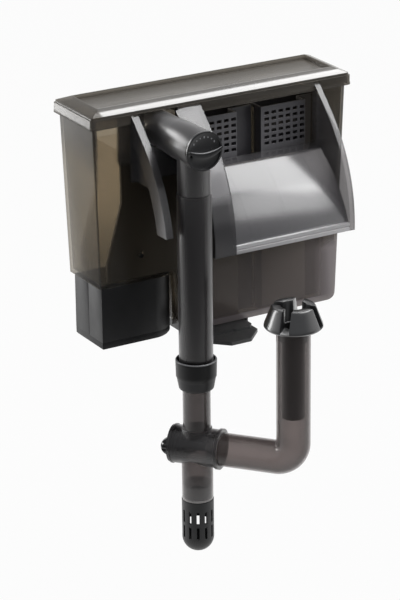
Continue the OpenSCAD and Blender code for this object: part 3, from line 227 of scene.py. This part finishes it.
class Recipe:
    """A Principled material built up from noise layers and masks in object space."""

    def __init__(self, name, color, rough, **sockets):
        self.mat = bpy.data.materials.new(name)
        self.mat.use_nodes = True
        self.nodes, self.links = self.mat.node_tree.nodes, self.mat.node_tree.links
        self.bsdf = self.nodes["Principled BSDF"]
        self.bsdf.inputs["Base Color"].default_value = (*color, 1)
        self.bsdf.inputs["Roughness"].default_value = rough
        self.coords = self.nodes.new("ShaderNodeTexCoord").outputs["Object"]
        self.normal = None
        for socket, value in sockets.items():
            self.bsdf.inputs[socket.replace("_", " ")].default_value = value

    def noise(self, scale, detail=3.0, stretch=(1, 1, 1), seed=0.0):
        mapping = self.nodes.new("ShaderNodeMapping")
        mapping.inputs["Scale"].default_value = stretch
        mapping.inputs["Location"].default_value = (seed, seed * 0.7, seed * 1.3)
        texture = self.nodes.new("ShaderNodeTexNoise")
        texture.inputs["Scale"].default_value = scale
        texture.inputs["Detail"].default_value = detail
        self.links.new(self.coords, mapping.inputs["Vector"])
        self.links.new(mapping.outputs[0], texture.inputs["Vector"])
        return texture.outputs["Fac"]

    def cells(self, scale):
        texture = self.nodes.new("ShaderNodeTexVoronoi")
        texture.inputs["Scale"].default_value = scale
        self.links.new(self.coords, texture.inputs["Vector"])
        return texture.outputs["Distance"]

    def along(self, axis):
        """One coordinate of the surface, in metres."""
        node = self.nodes.new("ShaderNodeSeparateXYZ")
        self.links.new(self.coords, node.inputs[0])
        return node.outputs[axis]

    def ramp(self, source, low, high, to_low=0.0, to_high=1.0):
        node = self.nodes.new("ShaderNodeMapRange")
        node.inputs["From Min"].default_value = low
        node.inputs["From Max"].default_value = high
        node.inputs["To Min"].default_value = to_low
        node.inputs["To Max"].default_value = to_high
        self.links.new(source, node.inputs["Value"])
        return node.outputs["Result"]

    def below(self, source, start, end):
        """1 where source is below start, falling to 0 at end."""
        return self.ramp(source, start, end, 1, 0)

    def math(self, operation, first, second):
        node = self.nodes.new("ShaderNodeMath")
        node.operation = operation
        for socket, value in zip(node.inputs, (first, second)):
            if isinstance(value, bpy.types.NodeSocket):
                self.links.new(value, socket)
            else:
                socket.default_value = value
        return node.outputs[0]

    def minus(self, first, second):
        return self.math("SUBTRACT", first, second)

    def times(self, first, *others):
        for other in others:
            first = self.math("MULTIPLY", first, other)
        return first

    def highest(self, first, *others):
        for other in others:
            first = self.math("MAXIMUM", first, other)
        return first

    def tint(self, mask, color):
        """Mixes color over the base colour where mask is 1."""
        node = self.nodes.new("ShaderNodeMix")
        node.data_type = "RGBA"
        socket = self.bsdf.inputs["Base Color"]
        if socket.is_linked:
            self.links.new(socket.links[0].from_socket, node.inputs[MIX_FIRST])
        else:
            node.inputs[MIX_FIRST].default_value = socket.default_value
        node.inputs[MIX_SECOND].default_value = (*color, 1)
        self.links.new(mask, node.inputs[0])
        self.links.new(node.outputs[MIX_RESULT], socket)

    def drive(self, socket, source):
        """Sets a number of the shader from a mask."""
        self.links.new(source, self.bsdf.inputs[socket])

    def vary_rough(self, source, low, high, to_low, to_high):
        self.drive("Roughness", self.ramp(source, low, high, to_low, to_high))

    def see_through(self, cover, edge, glass, solid=None):
        """Mixes in clear light of colour glass: cover is the solid share face-on, edge edge-on.

        Where the mask solid is 1, the plastic lets nothing through.
        """
        facing = self.nodes.new("ShaderNodeLayerWeight")
        facing.inputs["Blend"].default_value = EDGE_BLEND
        clear = self.nodes.new("ShaderNodeBsdfTransparent")
        clear.inputs["Color"].default_value = (*glass, 1)
        mix = self.nodes.new("ShaderNodeMixShader")
        share = self.ramp(facing.outputs["Facing"], 0, 1, cover, edge)
        if solid is not None:
            share = self.highest(share, solid)
        self.links.new(share, mix.inputs[0])
        self.links.new(clear.outputs[0], mix.inputs[1])
        self.links.new(self.bsdf.outputs[0], mix.inputs[2])
        self.links.new(mix.outputs[0], self.nodes["Material Output"].inputs["Surface"])

    def bump(self, source, strength, distance):
        node = self.nodes.new("ShaderNodeBump")
        node.inputs["Strength"].default_value = strength
        node.inputs["Distance"].default_value = distance
        if self.normal is not None:
            self.links.new(self.normal, node.inputs["Normal"])
        self.links.new(source, node.inputs["Height"])
        self.links.new(node.outputs[0], self.bsdf.inputs["Normal"])
        self.normal = node.outputs[0]


def scaled(color, k):
    return tuple(min(1.0, c * k) for c in color)


LIGHTER, DARKER, DUSTY = 1.18, 0.8, 2.0  # times the plastic's own colour
GLOSSIER, DULLER = 0.88, 1.2  # times its own roughness


def moulded(name, color, rough, texture=0.2, streak=(1, 1, 1), **sockets):
    """Moulded plastic: slow drift of colour, flow streaks, faint dust, uneven gloss, fine grain."""
    r = Recipe(name, color, rough, **sockets)
    drift = r.noise(scale=9, detail=2, stretch=streak, seed=3.1)
    flow = r.noise(scale=28, detail=4, stretch=streak, seed=7.7)
    dust = r.noise(scale=300, detail=2, seed=1.9)
    uneven = r.noise(scale=60, detail=2, stretch=streak, seed=5.3)
    grain = r.noise(scale=900, seed=0.4)
    sag = r.noise(scale=14, detail=2, stretch=streak, seed=9.0)
    r.tint(r.ramp(drift, low=0.4, high=0.62), scaled(color, LIGHTER))
    r.tint(r.ramp(flow, low=0.55, high=0.75), scaled(color, DARKER))
    r.tint(r.ramp(dust, low=0.72, high=0.85, to_high=0.12), scaled(color, DUSTY))
    r.vary_rough(uneven, low=0.35, high=0.7,
                 to_low=rough * GLOSSIER, to_high=min(1, rough * DULLER))
    r.bump(grain, strength=texture, distance=0.00004)
    r.bump(sag, strength=0.2, distance=0.0005)
    return r


CLEAR_TEXTURE = 0.008  # clear plastic is moulded smoother


def smoked(name, color, rough, cover, edge, glass, streak=(1, 1, 1), **sockets):
    """Tinted clear plastic: lets glass-coloured light through, less so where seen edge-on."""
    r = moulded(name, color, rough, CLEAR_TEXTURE, streak, **sockets)
    r.see_through(cover, edge, glass)
    return r


# ---- Plastics that change from place to place ----
# Lengths in metres; depth is counted down from the lid line, x from the case's corner

# Light that one wall lets through
BROWN, GREY, PLUM = (0.91, 0.87, 0.80), (0.9, 0.88, 0.88), (0.9, 0.86, 0.85)
SHROUD_GLASS = (0.985, 0.965, 0.93)
GLOSS = {"Coat_Weight": 1.0, "Coat_Roughness": 0.2, "Coat_IOR": 1.75}
SHEEN = {"Coat_Weight": 0.8, "Coat_Roughness": 0.1, "Coat_IOR": 1.6}
SATIN = {"Coat_Weight": 0.6, "Coat_Roughness": 0.3, "Coat_IOR": 1.65,
         "Sheen_Weight": 0.4, "Sheen_Roughness": 0.3}
ELBOW_COAT = {"Coat_Weight": 0.8, "Coat_Roughness": 0.3, "Coat_IOR": 1.7,
              "Sheen_Weight": 0.4, "Sheen_Roughness": 0.3}

# Case: each wall leans in by its draft per metre of depth, and its mask ends over WALL
END_DRAFT, FRONT_DRAFT = 0.031, 0.0205
WALL = (0.003, 0.0035)
CORNER_LINE = 0.0010
LEFT_FADE, RIGHT_FADE = 1.6, 1.8  # end of a corner line, in its own widths
END_DEPTH = (0.01, 0.075)  # the left end clears up over this depth
FLOOR_HEIGHT = (0.005, 0.006)
SOLID_WALL, SOLID_LINE, SOLID_SHADOW_BAND = 0.8, 0.85, 0.9
# The haze starts over MEDIA, is fainter left of the seam and closes up towards the right end
MEDIA_X, MEDIA_DEPTH = (x_at(78), x_at(96)), (0.12, 0.14)
SEAM_X, LEFT_HAZE = (x_at(155.6), x_at(156)), 0.85
RIGHT_END_X, SOLID_MEDIA = (x_at(205), x_at(222)), (0.28, 0.84)
# The painted shadow beside the barrel, a dark band where the wall lets no light through, and the
# round spot on the front
SHADOW_BAND_LEFT, SHADOW_BAND_RIGHT = (x_at(20), x_at(24)), (x_at(95), x_at(97))
SHADOW_BAND_DEPTH = (0.03, 0.038)
SPOT_X, SPOT_DEPTH, SPOT_R, SPOT_FADE = x_at(42.4), 0.1129, 0.0016, 0.0021

# Lid: reach of the front bevel, back from the front, up to the top and in from the left end
BEVEL_BACK, BEVEL_DROP, BEVEL_START = (0.0115, 0.0125), (0.0052, 0.0046), (0.010, 0.012)
SOLID_BEVEL = 0.96
# Pump shroud, with painted shade: thickness of its solid dark front, and the depth over which the
# rest closes up, darkening it lower down
SHROUD_FACE, SHROUD_SHADE_DEPTH, SHROUD_SHADE_SOLID = (0.0024, 0.003), (0.06, 0.13), 0.3
# Lower tube: heights above its end
SPIGOT_TINT, SPIGOT_COVER, TUBE_END_HIGHLIGHT = (0.010, 0.016), (0.012, 0.018), (0.0018, 0.0022)
SOLID_SPIGOT = 0.75
# Hood: the plate's sides, and where its pale band, a painted highlight, starts and ends
PLATE_LEFT, PLATE_RIGHT = (x_at(76.4), x_at(77)), (x_at(94.2), x_at(94.8))
PLATE_HIGHLIGHT_TOP, PLATE_HIGHLIGHT_END = (0.020, 0.034), (0.055, 0.064)
# Chute: height of its lip, painted pale as a highlight, and half the reach over which the tint ends
LIP, LIP_FADE = 0.007, 0.0002
# The pale front of a cassette is painted light, standing in for light falling on it through the
# case
PAINTED_LIGHT_FRONT = (0.0006, 0.0009)  # thickness of a cassette's pale front
# Collar: height of the lower step, and how far the painted highlight on the edge reaches down from
# the mouth
COLLAR_STEP, COLLAR_MOUTH_HIGHLIGHT = (0.0088, 0.0092), (0.0011, 0.0006)


def case_plastic():
    """Smoked plastic of the case: dark along its upright edges, hazy over the media chamber, with a
    painted shadow beside the barrel.
    """
    r = moulded("smoked_case", (0.046, 0.041, 0.034), rough=0.2, texture=0.02, streak=(1, 1, 0.35))
    x, y, z = (r.along(axis) for axis in "XYZ")
    depth = r.minus(CORNER.z, z)
    from_end = r.minus(r.minus(x, CORNER.x), r.times(depth, END_DRAFT))
    from_right = r.minus(r.minus(CASE_HIGH.x, x), r.times(depth, END_DRAFT))
    from_front = r.minus(r.minus(y, CORNER.y), r.times(depth, FRONT_DRAFT))

    front = r.below(from_front, *WALL)
    end = r.times(r.below(from_end, *WALL), r.ramp(depth, *END_DEPTH, SOLID_WALL, 0))
    right = r.times(r.below(from_right, *WALL), SOLID_WALL)
    bottom = r.times(r.below(z, *(CASE_LOW.z + height for height in FLOOR_HEIGHT)), SOLID_WALL)
    left_line = r.below(r.highest(from_end, from_front), CORNER_LINE, CORNER_LINE * LEFT_FADE)
    right_line = r.below(from_right, CORNER_LINE, CORNER_LINE * RIGHT_FADE)
    media = r.times(r.ramp(x, *MEDIA_X), r.ramp(depth, *MEDIA_DEPTH))
    haze = r.times(media, r.ramp(x, *SEAM_X, LEFT_HAZE, 1))
    # Painted shadow: the band beside the barrel is kept solid and dark
    shadow_band = r.times(r.ramp(x, *SHADOW_BAND_LEFT), r.below(depth, *SHADOW_BAND_DEPTH), front,
                   r.below(x, *SHADOW_BAND_RIGHT))
    dx, dz = r.minus(x, SPOT_X), r.minus(depth, SPOT_DEPTH)
    reach = r.math("ADD", r.times(dx, dx), r.times(dz, dz))
    spot = r.times(r.below(reach, SPOT_R ** 2, SPOT_FADE ** 2), front)

    r.tint(haze, (0.28, 0.245, 0.25))
    r.tint(left_line, (0.012, 0.010, 0.008))
    r.tint(right_line, (0.016, 0.014, 0.013))
    r.tint(spot, (0.004, 0.004, 0.004))
    solid = r.highest(r.times(media, r.ramp(x, *RIGHT_END_X, *SOLID_MEDIA)),
                      r.times(left_line, SOLID_LINE), r.times(shadow_band, SOLID_SHADOW_BAND),
                      end, right, bottom, spot)
    r.see_through(cover=0.15, edge=0.75, glass=BROWN, solid=solid)
    return r


def lid_plastic():
    """Smoked plastic of the lid, with a brighter polish on its front bevel."""
    low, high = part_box("lid")
    r = moulded("smoked_lid", (0.07, 0.063, 0.054), rough=0.2, texture=0.02, streak=(0.35, 1, 1),
                Coat_Roughness=0.12, Coat_IOR=1.85, Specular_IOR_Level=0.38)
    bevel = r.times(r.below(r.along("Y"), *(low.y + back for back in BEVEL_BACK)),
                    r.ramp(r.along("Z"), *(high.z - drop for drop in BEVEL_DROP)),
                    r.ramp(r.along("X"), *(low.x + start for start in BEVEL_START)))
    r.drive("Coat Weight", bevel)
    r.see_through(cover=0.62, edge=0.9, glass=BROWN, solid=r.times(bevel, SOLID_BEVEL))
    return r


def shroud_plastic():
    """The pump shroud, with painted shade: a solid dark front, and sides and back that let light
    through but close up lower down.
    """
    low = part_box("pump_shroud")[0]
    r = moulded("shroud_smoke", (0.055, 0.049, 0.044), rough=0.42, texture=0.2)
    depth = r.minus(CORNER.z, r.along("Z"))
    # Painted shade: the solid front stays dark, and the sides close up lower down where less light
    # falls
    face = r.below(r.along("Y"), *(low.y + back for back in SHROUD_FACE))
    solid = r.highest(face, r.ramp(depth, *SHROUD_SHADE_DEPTH, 0, SHROUD_SHADE_SOLID))
    r.see_through(cover=0.02, edge=0.18, glass=SHROUD_GLASS, solid=solid)
    return r


def lower_tube_plastic():
    """Smoked plastic of the lower tube, closed up over the strainer's spigot, with a painted
    highlight ring at its end.
    """
    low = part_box("lower_tube")[0]
    r = moulded("lower_smoke", (0.045, 0.04, 0.04), rough=0.2, texture=CLEAR_TEXTURE,
                streak=(1, 1, 0.15), **SHEEN)
    height = r.along("Z")
    r.tint(r.below(height, *(low.z + up for up in SPIGOT_TINT)), (0.07, 0.061, 0.059))
    # Painted highlight: a pale ring at the tube's end
    r.tint(r.below(height, *(low.z + up for up in TUBE_END_HIGHLIGHT)), (0.34, 0.32, 0.31))
    solid = r.ramp(height, *(low.z + up for up in SPIGOT_COVER), SOLID_SPIGOT, 0)
    r.see_through(cover=0.4, edge=0.85, glass=PLUM, solid=solid)
    return r


def hood_plastic():
    """Smoked plastic of the hood, with a painted highlight across the middle of the plate."""
    r = smoked("smoked_hood", (0.05, 0.049, 0.052), rough=0.2, cover=0.5, edge=0.93, glass=GREY,
               streak=(1, 1, 0.4), **GLOSS)
    x, depth = r.along("X"), r.minus(CORNER.z, r.along("Z"))
    plate = r.times(r.ramp(x, *PLATE_LEFT), r.below(x, *PLATE_RIGHT))
    pale = r.times(r.ramp(depth, *PLATE_HIGHLIGHT_TOP), r.below(depth, *PLATE_HIGHLIGHT_END))
    # Painted highlight: a pale band across the middle of the plate
    r.tint(r.times(plate, pale), (0.36, 0.355, 0.365))
    return r


def chute_plastic():
    """Smoked plastic of the chute, nearly solid, with a painted highlight on its lip."""
    lip_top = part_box("waterfall_chute")[0].z + LIP
    r = smoked("smoked_chute", (0.06, 0.058, 0.062), rough=0.2, cover=0.8, edge=0.97, glass=GREY,
               streak=(1, 0.4, 0.4), **GLOSS)
    # Painted highlight: the lip is tinted pale
    r.tint(r.below(r.along("Z"), lip_top - LIP_FADE, lip_top + LIP_FADE), (0.5, 0.49, 0.5))
    return r


def cassette_plastic():
    """Grey plastic of the cassettes, with painted light on the grilled front, which makes it paler.
    """
    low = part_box("cassette_left")[0]
    r = moulded("cassette_plastic", (0.05, 0.048, 0.053), rough=0.34, texture=0.3)
    # Painted light: the grilled front is tinted paler
    r.tint(r.below(r.along("Y"), *(low.y + back for back in PAINTED_LIGHT_FRONT)), (0.125, 0.122, 0.13))
    return r


def collar_plastic():
    """Black collar: a darker upper step, a greyer lower one and a painted highlight along the edge
    of the mouth.
    """
    low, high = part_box("tube_collar")
    r = moulded("collar_black", (0.006, 0.006, 0.0065), rough=0.36, texture=0.2,
                Specular_IOR_Level=0.3)
    height = r.along("Z")
    r.tint(r.below(height, *(low.z + up for up in COLLAR_STEP)), (0.026, 0.026, 0.027))
    # Painted highlight: a bright line along the mouth's edge
    r.tint(r.ramp(height, *(high.z - down for down in COLLAR_MOUTH_HIGHLIGHT)), (0.16, 0.16, 0.165))
    return r


# ---- The other materials ----

PLAIN = {
    # Pale grey: painted highlight on the grip's rims, and the colour of the knob's dots
    "highlight_and_dot_grey": dict(color=(0.24, 0.24, 0.25), rough=0.3, texture=0.1,
                       Coat_Weight=0.6, Coat_Roughness=0.15),
    "black_plastic": dict(color=(0.011, 0.011, 0.0115), rough=0.42, texture=0.4),
    "black_gloss": dict(color=(0.011, 0.011, 0.0118), rough=0.28, texture=0.25,
                        Coat_Weight=0.3, Coat_Roughness=0.15),
    "crown_gloss": dict(color=(0.013, 0.013, 0.0138), rough=0.3, texture=0.2,
                        Coat_Weight=1.0, Coat_Roughness=0.2, Coat_IOR=1.65),
    "motor_black": dict(color=(0.011, 0.011, 0.0115), rough=0.42, texture=0.4,
                        Specular_IOR_Level=0.3),
    "foot_plastic": dict(color=(0.055, 0.055, 0.055), rough=0.45, texture=0.4),
    "impeller_plastic": dict(color=(0.62, 0.60, 0.55), rough=0.4, texture=0.3),
    "rubber": dict(color=(0.018, 0.018, 0.018), rough=0.7, texture=0.6),
}
SMOKED = {
    "cheek_smoke": dict(color=(0.075, 0.072, 0.075), rough=0.2, cover=0.44, edge=0.85, glass=GREY,
                        streak=(1, 1, 0.4), **GLOSS),
    "tube_smoke": dict(color=(0.022, 0.02, 0.021), rough=0.3, cover=0.6, edge=0.97, glass=PLUM,
                       streak=(1, 1, 0.15), **SATIN),
    "elbow_smoke": dict(color=(0.03, 0.028, 0.029), rough=0.34, cover=0.6, edge=0.92, glass=PLUM,
                        streak=(1, 0.2, 1), **ELBOW_COAT),
    "thin_smoke": dict(color=(0.04, 0.036, 0.036), rough=0.2, cover=0.48, edge=0.88, glass=PLUM,
                       streak=(1, 1, 0.15), **SHEEN),
    "arm_smoke": dict(color=(0.06, 0.05, 0.047), rough=0.22, cover=0.3, edge=0.8, glass=PLUM,
                      streak=(1, 1, 0.3), **SHEEN),
}
MAGNET_CELLS, FOAM_CELLS, GRANULES = 900, 700, 420  # to the metre
LAMINATES = dict(scale=60, detail=1, stretch=(0.02, 0.02, 30))
WIRES = dict(scale=90, stretch=(0.1, 14, 0.1))
WEAVE = dict(scale=1500, detail=2, stretch=(1, 8, 1))
MIDDLE = (0.3, 0.7)  # most of a noise lies between these


def inner_materials():
    """Ceramic, metals and media, which only show when the filter is open."""
    shaft = Recipe("ceramic_shaft", (0.78, 0.76, 0.7), rough=0.25, Coat_Weight=0.3)
    shaft.vary_rough(shaft.noise(scale=220, stretch=(1, 1, 0.05)), *MIDDLE, 0.18, 0.4)
    shaft.bump(shaft.noise(scale=600, detail=2, stretch=(1, 1, 0.1)),
               strength=0.15, distance=0.00005)

    magnet = moulded("magnet", (0.035, 0.035, 0.04), rough=0.5, texture=0.6)
    magnet.bump(magnet.cells(MAGNET_CELLS), strength=0.3, distance=0.0001)

    core = Recipe("core_steel", (0.4, 0.41, 0.43), rough=0.38, Metallic=1.0)
    core.vary_rough(core.noise(scale=160, detail=4, stretch=(1, 1, 12)), *MIDDLE, 0.28, 0.55)
    core.bump(core.noise(**LAMINATES), strength=0.6, distance=0.0002)

    coil = Recipe("coil_winding", (0.42, 0.16, 0.05), rough=0.3,
                  Coat_Weight=0.6, Coat_Roughness=0.15)
    coil.tint(coil.ramp(coil.noise(detail=2, **WIRES), low=0.42, high=0.6), (0.18, 0.06, 0.02))
    coil.bump(coil.noise(detail=1, **WIRES), strength=0.8, distance=0.0004)

    steel = Recipe("screw_steel", (0.6, 0.6, 0.62), rough=0.3, Metallic=1.0)
    steel.vary_rough(steel.noise(scale=500, detail=4), *MIDDLE, 0.2, 0.45)
    steel.bump(steel.noise(scale=900, detail=2), strength=0.2, distance=0.00005)

    foam = Recipe("filter_foam", (0.035, 0.037, 0.04), rough=0.9)
    foam.tint(foam.ramp(foam.cells(FOAM_CELLS), low=0.1, high=0.5), (0.09, 0.092, 0.098))
    foam.bump(foam.cells(FOAM_CELLS), strength=1.0, distance=0.0008)
    foam.bump(foam.noise(scale=80, detail=4), strength=0.4, distance=0.0008)

    pouch = Recipe("carbon_pouch", (0.5, 0.5, 0.48), rough=0.85)
    pouch.tint(pouch.ramp(pouch.cells(GRANULES), low=0.25, high=0.6), (0.06, 0.06, 0.062))
    pouch.bump(pouch.cells(GRANULES), strength=0.7, distance=0.0006)
    pouch.bump(pouch.noise(**WEAVE), strength=0.3, distance=0.0001)
    return {"ceramic_shaft": shaft, "magnet": magnet, "core_steel": core, "coil": coil,
            "screw_steel": steel, "foam": foam, "carbon": pouch}


def materials():
    made = {name: moulded(name, **look) for name, look in PLAIN.items()}
    made.update({name: smoked(name, **look) for name, look in SMOKED.items()})
    made.update({"smoked_case": case_plastic(), "smoked_lid": lid_plastic(),
                 "smoked_hood": hood_plastic(), "smoked_chute": chute_plastic(),
                 "shroud_smoke": shroud_plastic(), "lower_smoke": lower_tube_plastic(),
                 "cassette_plastic": cassette_plastic(), "collar_black": collar_plastic()})
    made.update(inner_materials())
    return {name: recipe.mat for name, recipe in made.items()}


# ---- Finish of the CAD pieces ----

SMOOTH_ANGLE, BEVEL_ANGLE = math.radians(34), math.radians(36)
BEVEL_SEGMENTS = 2
WELD_DISTANCE = 2e-6
# Width of the rounded edges in millimetres
BEVELS = {"lid": 0.35, "filter_case": 0.35, "hood_left": 0.35, "hood_right": 0.35,
          "waterfall_chute": 0.3, "flow_knob": 0.3, "tube_collar": 0.3, "skimmer_tee": 0.3,
          "tee_knob": 0.35, "skimmer_crown": 0.5, "pump_housing": 0.5, "pump_bottom_cover": 0.5,
          "leveller_foot": 0.4, "foot_rail": 0.3, "cassette_left": 0.25, "cassette_right": 0.25,
          "intake_elbow": 0.3, "lower_tube": 0.2, "main_tube": 0.2}
# Nodes that look different from the rest of their material slot
OTHER_MATERIAL = {"skimmer_arm": "arm_smoke", "lower_tube": "lower_smoke",
                  "extension_tube": "thin_smoke", "intake_elbow": "elbow_smoke",
                  "pump_shroud": "shroud_smoke", "hood_right": "cheek_smoke",
                  "skimmer_crown": "crown_gloss", "tube_collar": "collar_black",
                  "leveller_foot": "foot_plastic", "pump_housing": "motor_black",
                  "pump_bottom_cover": "motor_black"}


def smooth_by_angle(limit):
    """Node group that shades smooth but keeps edges sharper than limit."""
    group = bpy.data.node_groups.new("smooth_by_angle", "GeometryNodeTree")
    group.interface.new_socket("Geometry", in_out="INPUT", socket_type="NodeSocketGeometry")
    group.interface.new_socket("Geometry", in_out="OUTPUT", socket_type="NodeSocketGeometry")
    n, link = group.nodes, group.links
    start, end = n.new("NodeGroupInput"), n.new("NodeGroupOutput")
    faces, edges = n.new("GeometryNodeSetShadeSmooth"), n.new("GeometryNodeSetShadeSmooth")
    faces.domain, edges.domain = "FACE", "EDGE"
    edges.inputs["Shade Smooth"].default_value = False
    angle, over = n.new("GeometryNodeInputMeshEdgeAngle"), n.new("FunctionNodeCompare")
    over.operation = "GREATER_THAN"
    over.inputs[1].default_value = limit
    link.new(start.outputs[0], faces.inputs["Geometry"])
    link.new(faces.outputs[0], edges.inputs["Geometry"])
    link.new(angle.outputs["Unsigned Angle"], over.inputs[0])
    link.new(over.outputs[0], edges.inputs["Selection"])
    link.new(edges.outputs[0], end.inputs[0])
    return group


def soften(obj, width, smoothing):
    """Joins the mesh's split corners, rounds its edges by width and shades it smooth."""
    mesh = obj.data
    if "custom_normal" in mesh.attributes:
        mesh.attributes.remove(mesh.attributes["custom_normal"])
    weld = obj.modifiers.new("weld", "WELD")
    weld.merge_threshold = WELD_DISTANCE
    if width:
        bevel = obj.modifiers.new("bevel", "BEVEL")
        bevel.width = width * MM
        bevel.segments = BEVEL_SEGMENTS
        bevel.limit_method = "ANGLE"
        bevel.angle_limit = BEVEL_ANGLE
        bevel.use_clamp_overlap = True
    smooth = obj.modifiers.new("smooth", "NODES")
    smooth.node_group = smoothing


def dress_nodes(mats):
    slots = {p["node"]: p["material_slot"] for p in frame["record"]["subparts"]}
    smoothing = smooth_by_angle(SMOOTH_ANGLE)
    for name, obj in NODES.items():
        obj.data.materials.clear()
        obj.data.materials.append(mats[OTHER_MATERIAL.get(name, slots[name])])
        soften(obj, BEVELS.get(name, 0), smoothing)


# ---- Soft pieces inside the cassettes ----

PAD_GAP = 0.0004  # to the faces of the CAD pad
PAD_CUTS = 19
BROAD_FACE = 0.99  # share of the half thickness beyond which a point is on a broad face
CROWN_POWER, DRAW_POWER = 8, 6
SIDE_DRAW, END_DRAW = 0.0006, 0.0008  # how far the sides and ends pull in at the corners
GRAIN, GRAIN_X, GRAIN_Y, GRAIN_Z = 0.00035, 9, 3, 17


def new_piece(name, bm, material, body):
    """Turns a bmesh into an object that rides on a body."""
    mesh = bpy.data.meshes.new(name)
    bm.to_mesh(mesh)
    bm.free()
    obj = bpy.data.objects.new(name, mesh)
    bpy.context.collection.objects.link(obj)
    mesh.materials.append(material)
    for face in mesh.polygons:
        face.use_smooth = True
    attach(obj, body)
    return obj


def pad(name, node, body, material, bands, depth, crown):
    """A soft block in the space of a CAD pad: crowned faces, rounded edges and pressed bands."""
    low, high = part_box(node)
    gap = Vector((PAD_GAP, PAD_GAP, PAD_GAP))
    low, high = low + gap, high - gap
    centre, half = (low + high) / 2, (high - low) / 2
    bm = bmesh.new()
    bmesh.ops.create_cube(bm, size=2)
    bmesh.ops.subdivide_edges(bm, edges=bm.edges[:], cuts=PAD_CUTS, use_grid_fill=True)
    for v in bm.verts:
        u, w, h = v.co
        edge = max(abs(u), abs(h)) ** CROWN_POWER
        wave = 0.5 + 0.5 * math.cos(bands * math.pi * (u + 1))
        press = depth * wave if abs(w) > BROAD_FACE else 0
        push = crown * (1 - edge) - press
        grain = GRAIN * noise.noise(Vector((u * GRAIN_X, w * GRAIN_Y, h * GRAIN_Z)))
        v.co = Vector((u * (half.x - SIDE_DRAW * abs(h) ** DRAW_POWER),
                       w * (half.y - crown + push) + grain,
                       h * (half.z - END_DRAW * abs(u) ** DRAW_POWER)))
        v.co += centre
    obj = new_piece(name, bm, material, body)
    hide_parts(node)


def soft_pieces(mats):
    for side in ("left", "right"):
        body = f"media_{side}"
        pad(f"foam_block_{side}", f"foam_{side}", body, mats["foam"],
            bands=9, depth=0.0012, crown=0.0008)
        pad(f"carbon_pouch_{side}", f"carbon_{side}", body, mats["carbon"],
            bands=2, depth=0.0006, crown=0.0012)


# ---- Small marks on the flow knob ----

# In millimetres
KNOB_R, KNOB_CENTRE_X, KNOB_CENTRE_Z = 15.9, 60, -8.8
RIM_INSET = 0.5
# In metres
RIM_BACK, RIM_R = 0.00042, 0.0004
DOT_CIRCLE, DOT_BACK, DOT_R = 0.0112, 0.0040, 0.0006
# Circles of the grip's rims: centre above the knob's and radius, both in knob radii,
# and half the angle of the arc in degrees
GRIP_ARCS = ((0.93, 1.25, 46), (2.02, 2.0875, 25))
RIM_TAPER, TAPER_POWER = 0.75, 4
RIM_STEPS, RIM_SIDES = 40, 8
DOTS, FIRST_DOT, DOT_STEP = 7, 35, 18  # the angles in degrees
DOT_FLAT, LONG_DOT, LONG_EVERY = 0.5, 1.6, 3


def arc_bead(bm, centre, radius, half_angle):
    """A thin bead along the lower part of a circle that faces the front; it tapers to its ends."""
    rings = []
    for i in range(RIM_STEPS + 1):
        t = 2 * i / RIM_STEPS - 1
        a = math.radians(-90 + t * half_angle)
        out = Vector((math.cos(a), 0, math.sin(a)))
        r = RIM_R * (1 - RIM_TAPER * t ** TAPER_POWER)
        ring = []
        for k in range(RIM_SIDES):
            b = 2 * math.pi * k / RIM_SIDES
            around = out * math.cos(b) + Vector((0, math.sin(b), 0))
            ring.append(bm.verts.new(centre + out * radius + around * r))
        rings.append(ring)
    for one, two in zip(rings, rings[1:]):
        for k in range(RIM_SIDES):
            after = (k + 1) % RIM_SIDES
            bm.faces.new((one[k], one[after], two[after], two[k]))
    bm.faces.new(rings[0][::-1])
    bm.faces.new(rings[-1])
    bmesh.ops.recalc_face_normals(bm, faces=bm.faces[:])


def knob_marks(mats):
    """Pale beads on the rims of the finger grip, a painted highlight, and a plain scale of raised
    dots above it.
    """
    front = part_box("flow_knob")[0].y
    middle = at(KNOB_CENTRE_X, 0, KNOB_CENTRE_Z)
    bm = bmesh.new()
    for lift, radius, half_angle in GRIP_ARCS:
        centre = Vector((middle.x, front + RIM_BACK, middle.z + lift * KNOB_R * MM))
        arc_bead(bm, centre, (radius * KNOB_R - RIM_INSET) * MM, half_angle)
    # Painted highlight: pale beads along the grip's rims
    new_piece("grip_rim_highlights", bm, mats["highlight_and_dot_grey"], "flow_control")
    bm = bmesh.new()
    for i in range(DOTS):
        a = math.radians(FIRST_DOT + i * DOT_STEP)
        place = Vector((middle.x + DOT_CIRCLE * math.cos(a), front + DOT_BACK,
                        middle.z + DOT_CIRCLE * math.sin(a)))
        length = LONG_DOT if i % LONG_EVERY == 0 else 1
        dot = Matrix.Translation(place) @ Matrix.Diagonal((1, DOT_FLAT, length, 1))
        bmesh.ops.create_uvsphere(bm, u_segments=12, v_segments=8, radius=DOT_R, matrix=dot)
    new_piece("scale_dots", bm, mats["highlight_and_dot_grey"], "flow_control")


camera()
studio()
MATS = materials()
dress_nodes(MATS)
soft_pieces(MATS)
knob_marks(MATS)
